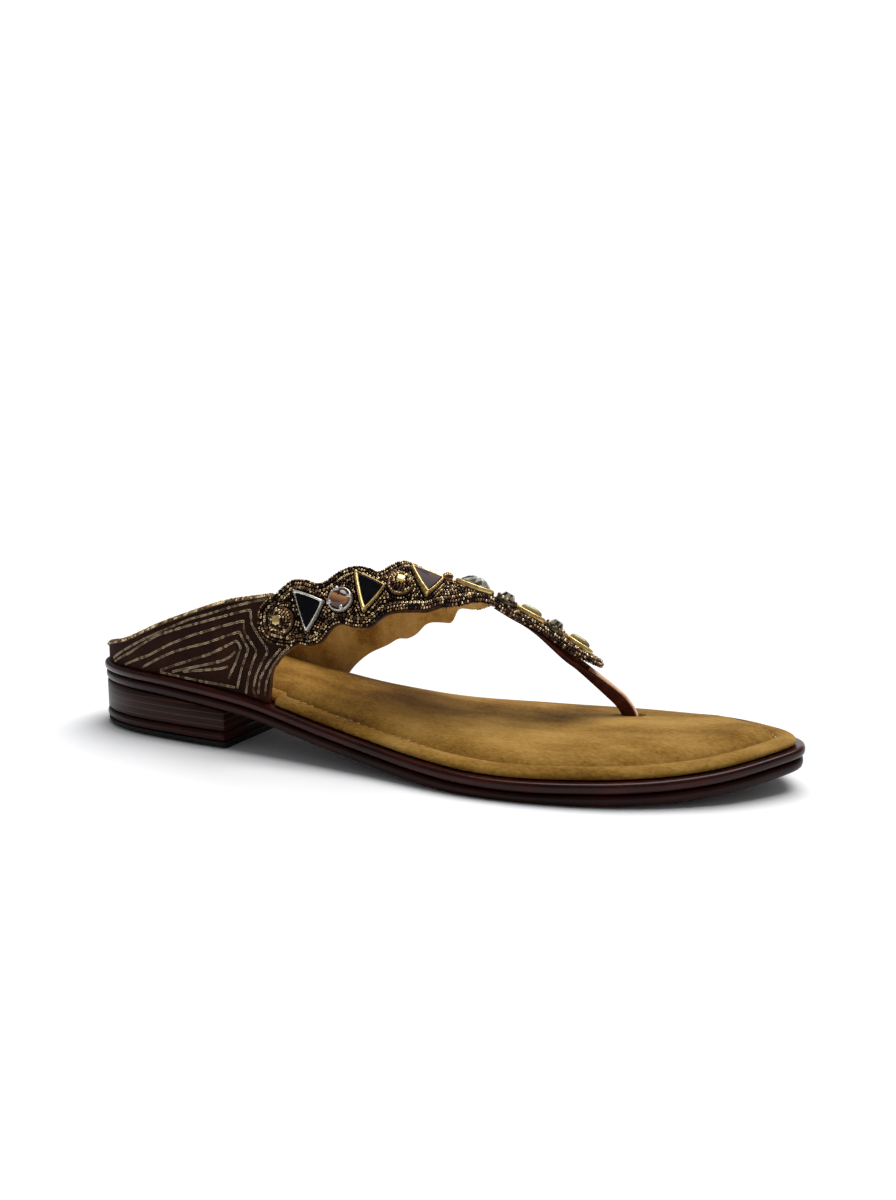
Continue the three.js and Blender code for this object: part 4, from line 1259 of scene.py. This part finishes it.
def bead_tree(name, ring):
    """Geometry Nodes tree that sets one bead at each point, square to the surface."""
    inputs = {"Geometry": "Geometry", "Seed": 3, "Least Tone": 0.0, "Finish": "Material"}
    tree, given, made = new_group(name, inputs, "Geometry", "GeometryNodeTree")
    if ring:
        hoop = add(tree, "GeometryNodeCurvePrimitiveCircle", {"Resolution": 9, "Radius": 0.00032})
        bead = swept_ring(tree, hoop.outputs["Curve"], 5, 0.00019)
    else:
        ball = add(tree, "GeometryNodeMeshUVSphere", {"Segments": 8, "Rings": 5, "Radius": 0.0005})
        bead = ball.outputs["Mesh"]
    wobble = random_vector(tree, (0.86, 0.86, 0.8), (1.12, 1.12, 1.1), given["Seed"])
    scale = add(
        tree, "ShaderNodeVectorMath", {0: vector_at_points(tree, "size"), 1: wobble}, operation="MULTIPLY"
    )
    set_at_points(tree, given, made, bead, facing_out(tree), scale.outputs["Vector"], given["Least Tone"])
    return tree


bead_coating, coating_tree, coating_shader = new_material(
    "bead_coating", Metallic=0.92, Specular_IOR_Level=0.6, Roughness=0.24
)
dye(
    coating_tree, coating_shader, tone_of_each(coating_tree),
    (0.1, srgb(28, 18, 15)), (0.38, srgb(82, 56, 42)),
    (0.66, srgb(156, 122, 84)), (0.94, srgb(240, 216, 168)),
)
round_beads = bead_tree("round_beads", False)
ring_beads = bead_tree("ring_beads", True)


def sew_beads(name, tree, rows, lift, seed, least):
    rows = np.array(rows)
    points = rows[:, :3] + rows[:, 3:6] * rows[:, 6:] * lift
    vectors = {"normal": rows[:, 3:6], "size": np.repeat(rows[:, 6:], 3, axis=1)}
    piece = grow(name, tree, points, vectors, {"Seed": seed, "Least Tone": least, "Finish": bead_coating})
    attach(piece, "root")


sew_beads("seed_bead_rows", round_beads, bead_rows["fine"], 0.32, 5, 0.0)
sew_beads("ring_bead_row", ring_beads, bead_rows["ring"], 0.12, 8, 0.3)


# Piping
# Braided gold cord sewn along the top edge of each side panel over an olive backing, with a thicker end at
# the heel where the braid is folded over.
CORD_RADIUS = 0.85
CORD_SINK = 0.7
BRAID_ROWS = ((0.85, -0.5), (0.1, 0.25))
BRAID_PITCH = 0.92
BRAID_BEAD = 0.9


def tube(name, centres, radii, material, sides=12):
    """Round cord along a line."""
    centres = np.asarray(centres, float)
    ahead = unit(np.gradient(centres, axis=0))
    aside = unit(np.cross(ahead, (0, 0, 1)))
    upwards = np.cross(aside, ahead)
    turns = full_turn(sides)
    loops = [
        centre + radius * (np.cos(turns)[:, None] * across + np.sin(turns)[:, None] * up)
        for centre, radius, across, up in zip(centres, np.broadcast_to(radii, len(centres)), aside, upwards)
    ]
    points, faces, uvs = lay_skin(loops)
    return make_piece(name, points, faces, [material], uvs)


cord_dye, cord_tree, cord_shader = new_material("cord_dye", Specular_IOR_Level=0.35, Roughness=0.6)
cord_tone = clouded(cord_tree, 500.0, 2500.0, 0.5)
dye(cord_tree, cord_shader, cord_tone, (0.35, srgb(38, 32, 12)), (0.65, srgb(112, 98, 48)))

piping_beads = []
for side in ("lateral", "medial"):
    along = np.linspace(PANEL_BACK, BAND_START[0][0] * (MEDIAL_STRETCH if side == "medial" else 1), 220)
    girth = np.radians(back_edge[side](along))
    normals = last_normal(along, girth)
    crest = on_last(along, girth)
    thick = 1 + 0.35 * (1 - smooth_step(4, 20, along))
    core = crest - CORD_SINK * normals + (0, 0, 0.15)
    cord = tube(side + "_piping_cord", core, CORD_RADIUS * thick, cord_dye)
    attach(cord, "root")
    for lift, out in BRAID_ROWS:
        row = crest + out * normals + lift * np.array([0, 0, 1])
        points, _ = spaced(row, BRAID_PITCH)
        spread = np.interp(points[:, 0], along, np.arange(len(along))).astype(int)
        piping_beads += [(*p, *normals[i], BRAID_BEAD) for p, i in zip(points, spread)]
sew_beads("piping_braid", round_beads, piping_beads, 0.0, 21, 0.25)


# Toe post
# A narrow strip of mahogany leather folded double and turned on edge. It starts as the backing of the
# centre strap, leaves it near the tip and goes down through the footbed's slit. Its front is copper paint.
POST_PATH = (
    (181.5, 33.3, 2.4, 7.4), (185.5, 30.2, 2.6, 6.6), (189.7, 26.7, 3.4, 5.2), (194.6, 22.6, 4.2, 4.1),
    (199.0, 18.7, 4.6, 3.5), (201.7, 14.9, 4.7, 3.4), (203.3, 11.0, 4.7, 3.4), (204.0, 7.9, 4.7, 3.4),
)
BACKING_START = 160
PAINT_START = 188
POST_STATIONS = 160
POST_SIDES = 40
backing_along = np.linspace(BACKING_START, 176, 8)
backing_girth = girth_across(backing_along, strap_across(backing_along))
backing_thick = 0.4 + 1.6 * smooth_step(168, 179, backing_along)
backing_depth = SHOWN_WALL + 0.05 + backing_thick / 2
backing_normal = last_normal(backing_along, backing_girth)
backing = on_last(backing_along, backing_girth) - backing_depth[:, None] * backing_normal
post_rows = [
    (p[0], p[2], thick, 2 * half * 0.8)
    for p, thick, half in zip(backing, backing_thick, strap_half_width(backing_along))
]
post_rows = np.array(post_rows + list(POST_PATH))
post_at = np.linspace(0, len(post_rows) - 1, POST_STATIONS)
post_along, post_height, post_depth, post_width = (
    curve_through(dict(enumerate(column)))(post_at) for column in post_rows.T
)
post_across = np.minimum(strap_across(post_along), SLIT["across"])
post_ahead = unit(np.stack([np.gradient(post_along), np.gradient(post_height)], 1))
post_turns = full_turn(POST_SIDES) + math.pi / 2
post_up = signed_power(np.sin(post_turns), 0.45)
post_out = signed_power(np.cos(post_turns), 0.45)
post_lines = zip(post_along, post_across, post_height, post_depth / 2, post_width / 2, post_ahead)
post_loops = [
    np.stack([x - ahead[1] * post_up * deep, y + post_out * wide, z + ahead[0] * post_up * deep], 1)
    for x, y, z, deep, wide, ahead in post_lines
]
post_leather = waxed_edge(
    "post_leather", srgb(26, 8, 5), srgb(62, 20, 11), srgb(96, 38, 22), (0.8, 3, 1), (0.3, 0.5), 0.12
)
post_paint, paint_tree, paint_shader = new_material(
    "post_copper_paint", Metallic=0.55, Coat_Weight=0.3, Roughness=0.34
)
paint_tone = clouded(paint_tree, 260.0)
dye(paint_tree, paint_shader, paint_tone, (0.3, srgb(168, 100, 62)), (0.7, srgb(238, 182, 128)))
post_points, post_faces, post_uvs = lay_skin(post_loops)
on_fold = (post_up > 0.8) & (np.roll(post_up, -1) > 0.8)
painted = ((post_along[:-1] > PAINT_START)[:, None] & on_fold).ravel()
post_slots = np.zeros(len(post_faces), int)
post_slots[: len(painted)] = painted
post_finishes = [post_leather, post_paint]
toe_post = make_piece("toe_post_strip", post_points, post_faces, post_finishes, post_uvs, post_slots)
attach(toe_post, "root")
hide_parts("toe_post")


# Stones
# Ornaments glued and sewn to the band: round pieces, triangles and navettes in turn. Each has a cast metal
# bezel that follows the curve of the band, and holds a glass or resin stone.
BEZEL_WALL = {"round": 0.8, "triangle": 0.55, "navette": 0.75}
SEAT_LIFT = 0.35
DOME_RISE = 2.4
DOME_RADIUS = 4.5
BEZEL_HEIGHT = {"round": 1.9, "triangle": 2.2, "navette": 2.0}
BEZEL_PROFILE = ((0, 0.45), (0.03, 0.7), (0.18, 0.9), (0.42, 1.0), (0.66, 0.97), (0.88, 0.86), (1, 0.7))
PLATING = {
    "round_1": "copper", "triangle_1": "silver", "round_2": "silver", "round_3": "copper",
    "centre_round_2": "pewter", "centre_round_3": "pewter",
}
FINISH = {name: value_for(name, PLATING, "gold") for name in STONE_PLACES}
SORT = {
    "triangle_1": "onyx", "triangle_2": "onyx", "triangle_3": "slate", "round_1": "pave",
    "round_2": "amber", "round_3": "pave", "centre_round_2": "pewter", "centre_round_3": "pewter",
    "navette_1": "smoke",
}
THICK_SIDE = {
    "triangle_1": (0.05, 1, 0.5), "triangle_2": (-0.77, -0.64, 0.8), "triangle_3": (-0.77, -0.64, 0.5),
}


def sort_of(name):
    return value_for(name, SORT, "champagne")


def polished_metal(name, dark, light, roughness):
    """Cast and plated metal, duller and darker where the plating is thin."""
    material, tree, shader = new_material(name, Metallic=0.72, Specular_IOR_Level=0.6, Roughness=roughness)
    dye(tree, shader, clouded(tree, 420.0, 2500.0, 0.3), (0.34, dark), (0.6, light))
    press_grain(tree, shader, 700.0, 0.00015, 0.3)
    return material


metals = {
    "silver": polished_metal("silver_plate", srgb(196, 188, 178), srgb(248, 244, 236), 0.24),
    "gold": polished_metal("gold_plate", srgb(196, 156, 84), srgb(250, 222, 152), 0.26),
    "copper": polished_metal("copper_plate", srgb(84, 56, 44), srgb(170, 128, 98), 0.32),
    "pewter": polished_metal("pewter_plate", srgb(38, 34, 28), srgb(118, 108, 88), 0.3),
}


def cut_glass(name, dark, middle, light, roughness, gloss):
    """Opaque backed glass. Each facet has its own tone, kept in the first UV coordinate; on cut stones the
    dark and light facets are painted glints.
    """
    material, tree, shader = new_material(
        name, Coat_Weight=gloss, Coat_Roughness=0.03, Specular_IOR_Level=0.05 + gloss, Roughness=roughness
    )
    dye(tree, shader, first_of_map(tree), (0.1, dark), (0.5, middle), (0.95, light))
    return material


glass = {
    "onyx": cut_glass("onyx_glass", srgb(2, 2, 3), srgb(5, 5, 7), srgb(12, 12, 16), 0.06, 0.1),
    "slate": cut_glass("slate_mirror", srgb(40, 24, 24), srgb(66, 44, 44), srgb(88, 66, 68), 0.5, 0.03),
    "amber": cut_glass("amber_resin", srgb(44, 20, 10), srgb(104, 60, 34), srgb(196, 138, 92), 0.12, 0.4),
    "smoke": cut_glass("smoke_glass", srgb(30, 28, 24), srgb(92, 88, 76), srgb(206, 202, 186), 0.08, 0.4),
    "champagne": cut_glass(
        "champagne_glass", srgb(110, 92, 48), srgb(186, 170, 118), srgb(232, 222, 184), 0.14, 0.35
    ),
    "pewter": cut_glass("pewter_glass", srgb(12, 11, 9), srgb(58, 52, 40), srgb(196, 184, 150), 0.1, 0.4),
    "pave": cut_glass("pave_bed", srgb(22, 13, 10), srgb(40, 24, 18), srgb(66, 42, 32), 0.45, 0.05),
}


def kind_of(name):
    return next(kind for kind in BEZEL_HEIGHT if kind in name)


def make_bezel(name):
    kind = kind_of(name)
    outer = plan_of(name, 48 if kind != "triangle" else 45)
    reach = np.linalg.norm(outer, axis=1).min()
    inner = outer * (1 - BEZEL_WALL[kind] / reach)
    *toward, bulge = value_for(name, THICK_SIDE, (1, 0, 0))
    thick = np.clip((outer @ toward) / 3.2, 0, 1) ** 3 * bulge
    inner = inner - np.array(toward) * thick[:, None]
    height = BEZEL_HEIGHT[kind] + 0.7 * thick
    loops = [on_seat(name, outer, SEAT_LIFT)]
    for share, rise in BEZEL_PROFILE:
        loops.append(over_seat(name, outer * (1 - share) + inner * share, height * rise))
    loops.append(on_seat(name, inner, SEAT_LIFT))
    loops.append(loops[0])
    points, faces, uvs = lay_skin(loops, caps=None)
    piece = make_piece(name + "_setting", points, faces, [metals[FINISH[name]]], uvs)
    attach(piece, "root")
    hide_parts(name + "_bezel")


def stone_loops(name):
    """Rings of a stone from its girdle to its top: scale and height."""
    kind = kind_of(name)
    low = BEZEL_HEIGHT[kind]
    if kind == "triangle":
        return 45, [(1, 0.7 * low), (0.99, 0.82 * low), (0.93, low + 0.05), (0.91, low + 0.08)]
    if sort_of(name) in ("amber", "pave"):
        rise = DOME_RISE * size_of(name) / DOME_RADIUS
        return 48, [(math.cos(t), 0.8 * low + rise * math.sin(t)) for t in np.linspace(0, 1.45, 9)]
    if kind == "round":
        return 10, [(1, 0.8 * low), (0.97, low + 0.5), (0.58, 4.0)]
    if name == "centre_navette_1":
        return 12, [(1, 0.8 * low), (0.95, low + 0.5), (0.62, 3.9), (0.3, 4.6)]
    return 48, [(1, 0.8 * low), (0.97, low + 0.4), (0.93, 2.8), (0.8, 3.2), (0.5, 3.55), (0.2, 3.7)]


def make_stone(name, seed):
    kind = kind_of(name)
    count, rings = stone_loops(name)
    plan = plan_of(name, count)
    reach = np.linalg.norm(plan_of(name, 48 if kind != "triangle" else 45), axis=1).min()
    plan = plan * (1 - (BEZEL_WALL[kind] + 0.05) / reach)
    loops = [on_seat(name, plan, SEAT_LIFT)] + [over_seat(name, plan * s, h) for s, h in rings]
    centres = loops[0].mean(0, keepdims=True), over_seat(name, np.zeros((1, 2)), rings[-1][1])
    points = np.concatenate([*loops, *centres])
    faceted = count in (10, 12)
    faces = []
    for level_index in range(len(loops) - 1):
        low, high = level_index * count, (level_index + 1) * count
        for i in range(count):
            j = (i + 1) % count
            if faceted:
                faces += [(low + i, low + j, high + i), (low + j, high + j, high + i)]
            else:
                faces.append((low + i, low + j, high + j, high + i))
    top = (len(loops) - 1) * count
    faces += [((i + 1) % count, i, len(points) - 2) for i in range(count)]
    if faceted:
        faces.append(tuple(range(top, top + count)))
    else:
        faces += [(top + i, top + (i + 1) % count, len(points) - 1) for i in range(count)]
    # Cut stones get a random tone for each facet, from dark to light: painted glints. Smooth stones get a
    # tone that changes with place.
    dice = np.random.default_rng(seed)
    uvs = []
    for face in faces:
        tone = dice.random() if faceted else 0.5
        uvs += [(tone if faceted else float(points[c] @ (0.05, 0.03, 0.2)) % 1, 0.5) for c in face]
    sort = sort_of(name)
    piece = make_piece(name + "_gem", points, faces, [glass[sort]], uvs, closed=False)
    if faceted or kind == "triangle":
        piece.data.polygons.foreach_set("use_smooth", [False] * len(piece.data.polygons))
    mend(piece.data)
    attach(piece, "root")
    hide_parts(name + "_stone")


for seed, name in enumerate(STONE_PLACES):
    make_bezel(name)
    make_stone(name, 40 + seed)


# Settings' small parts
# Tiny copper beads set over the domed round pieces with a square metal stud at the top, a collar of small
# beads round the dark round stones, and claws over the amber ones.
PAVE_ROWS = ((1.5, 25), (1.2, 23), (0.92, 19), (0.64, 14), (0.36, 8))
PAVE_HEIGHT = 1.6
COLLAR_COUNT = 13
COLLAR_BEAD = 1.15
COLLAR_HEIGHT = 2.0
STUD_HEIGHT = 0.42
CLAW_TURNS = (0.5, 2.2, 3.9, 5.4)
CLAW_SIZE = (0.75, 0.5, 0.6)
CLAW_HEIGHT = 2.35
BLOCK_ROUNDING = 0.25


def spoke(u, v, turn):
    return math.cos(turn) * u + math.sin(turn) * v


pave_beads, collar_beads, studs = [], [], []
for name in [name for name in STONE_PLACES if sort_of(name) == "pave"]:
    middle, normal, u, v = seat_of(name)
    share = size_of(name) / DOME_RADIUS
    reach = size_of(name) - 0.5 * BEZEL_WALL["round"]
    for tilt, count in PAVE_ROWS:
        for k in range(round(count * share)):
            turn = 2 * math.pi * (k + 0.37 * tilt) / round(count * share)
            outwards = spoke(u, v, turn)
            rise = PAVE_HEIGHT + DOME_RISE * share * math.cos(tilt)
            place = middle + reach * math.sin(tilt) * outwards + rise * normal
            pave_beads.append((*place, *unit(outwards * math.sin(tilt) + normal * math.cos(tilt)), 1.0))
    top = middle + (PAVE_HEIGHT + 0.1 + DOME_RISE * share) * normal
    studs.append((top, normal, u, v, 0.3 * size_of(name)))
for name in ("centre_round_2", "centre_round_3"):
    middle, normal, u, v = seat_of(name)
    for k in range(COLLAR_COUNT):
        turn = 2 * math.pi * k / COLLAR_COUNT
        outwards = spoke(u, v, turn)
        place = middle + (size_of(name) - 0.35) * outwards + COLLAR_HEIGHT * normal
        collar_beads.append((*place, *normal, COLLAR_BEAD))
sew_beads("pave_beads", round_beads, pave_beads, 0.0, 31, 0.1)
sew_beads("collar_beads", round_beads, collar_beads, 0.0, 34, 0.2)


def small_block(name, middle, axes, sizes, material):
    """Small bevelled block on its own axes."""
    corners = np.array([(x, y, z) for z in (-1, 1) for x, y in ((-1, -1), (1, -1), (1, 1), (-1, 1))])
    points = middle + (corners * sizes) @ np.array(axes)
    faces = [(3, 2, 1, 0), (4, 5, 6, 7), (0, 1, 5, 4), (1, 2, 6, 5), (2, 3, 7, 6), (3, 0, 4, 7)]
    block = make_piece(name, points, faces, [material])
    soften(block, BLOCK_ROUNDING)
    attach(block, "root")


for number, (middle, normal, u, v, half) in enumerate(studs):
    diagonal = unit(u + 0.35 * v)
    crossing = np.cross(normal, diagonal)
    axes, sizes = (diagonal, crossing, normal), (half, half, STUD_HEIGHT)
    small_block(f"square_stud_{number + 1}", middle, axes, sizes, metals["gold"])
for name in [name for name in STONE_PLACES if sort_of(name) == "amber"]:
    middle, normal, u, v = seat_of(name)
    for number, turn in enumerate(CLAW_TURNS):
        outwards = spoke(u, v, turn)
        place = middle + (size_of(name) - CLAW_SIZE[0]) * outwards + CLAW_HEIGHT * normal
        axes = outwards, np.cross(normal, outwards), normal
        small_block(f"{name}_claw_{number + 1}", place, axes, CLAW_SIZE, metals["silver"])


# Floor, light and camera
# The sandal stands on a pale sweep under a broad soft light from above and a little behind.
FLOOR_WHITE = srgb(251, 251, 252)
CAMERA_PLACE = (0.1266, -0.2719, 0.0873)
CAMERA_TURN = (83.0, 0.2, 22.4)
CAMERA_LENS = 35.25

floor_mesh = bpy.data.meshes.new("floor")
floor_mesh.from_pydata([(-6, -6, 0), (6, -6, 0), (6, 6, 0), (-6, 6, 0)], [], [(0, 1, 2, 3)])
floor_paint, _, floor_shader = new_material("floor_paint", Specular_IOR_Level=0.1, Roughness=0.8)
floor_shader.inputs["Base Color"].default_value = FLOOR_WHITE
floor_mesh.materials.append(floor_paint)
floor = show("floor", floor_mesh)


def soft_light(name, place, aim, width, height, power):
    data = bpy.data.lights.new(name, "AREA")
    data.shape = "RECTANGLE"
    data.size = width
    data.size_y = height
    data.energy = power
    light = show(name, data)
    light.location = place
    direction = mathutils.Vector(aim) - mathutils.Vector(place)
    light.rotation_euler = direction.to_track_quat("-Z", "Y").to_euler()


soft_light("back_card", (0.2, 2.4, 0.55), (0, 0, 0.05), 4.0, 1.0, 14)
sky = bpy.data.lights.new("overhead_light", "SUN")
sky.energy = 3.2
sky.angle = math.radians(50)
overhead = show("overhead_light", sky)
overhead.rotation_euler = mathutils.Vector((0.14, 0.3, 1)).to_track_quat("Z", "Y").to_euler()

world = bpy.data.worlds.new("studio")
world.use_nodes = True
world_tree = world.node_tree
ambient = world_tree.nodes["Background"]
ambient.inputs["Color"].default_value = (0.94, 0.97, 1, 1)
ambient.inputs["Strength"].default_value = 0.19
backdrop = add(world_tree, "ShaderNodeBackground", {"Color": (1, 1, 1, 1), "Strength": 1.05})
rays = add(world_tree, "ShaderNodeLightPath")
shown = add(world_tree, "ShaderNodeMixShader", {0: rays.outputs["Is Camera Ray"]})
world_tree.links.new(ambient.outputs["Background"], shown.inputs[1])
world_tree.links.new(backdrop.outputs["Background"], shown.inputs[2])
world_tree.links.new(shown.outputs["Shader"], world_tree.nodes["World Output"].inputs["Surface"])
bpy.context.scene.world = world

camera_data = bpy.data.cameras.new("camera")
camera_data.sensor_fit = "HORIZONTAL"
camera_data.sensor_width = 36
camera_data.lens = CAMERA_LENS
camera = show("camera", camera_data)
camera.location = CAMERA_PLACE
camera.rotation_euler = [math.radians(a) for a in CAMERA_TURN]
bpy.context.scene.camera = camera
bpy.context.scene.view_settings.view_transform = "Standard"
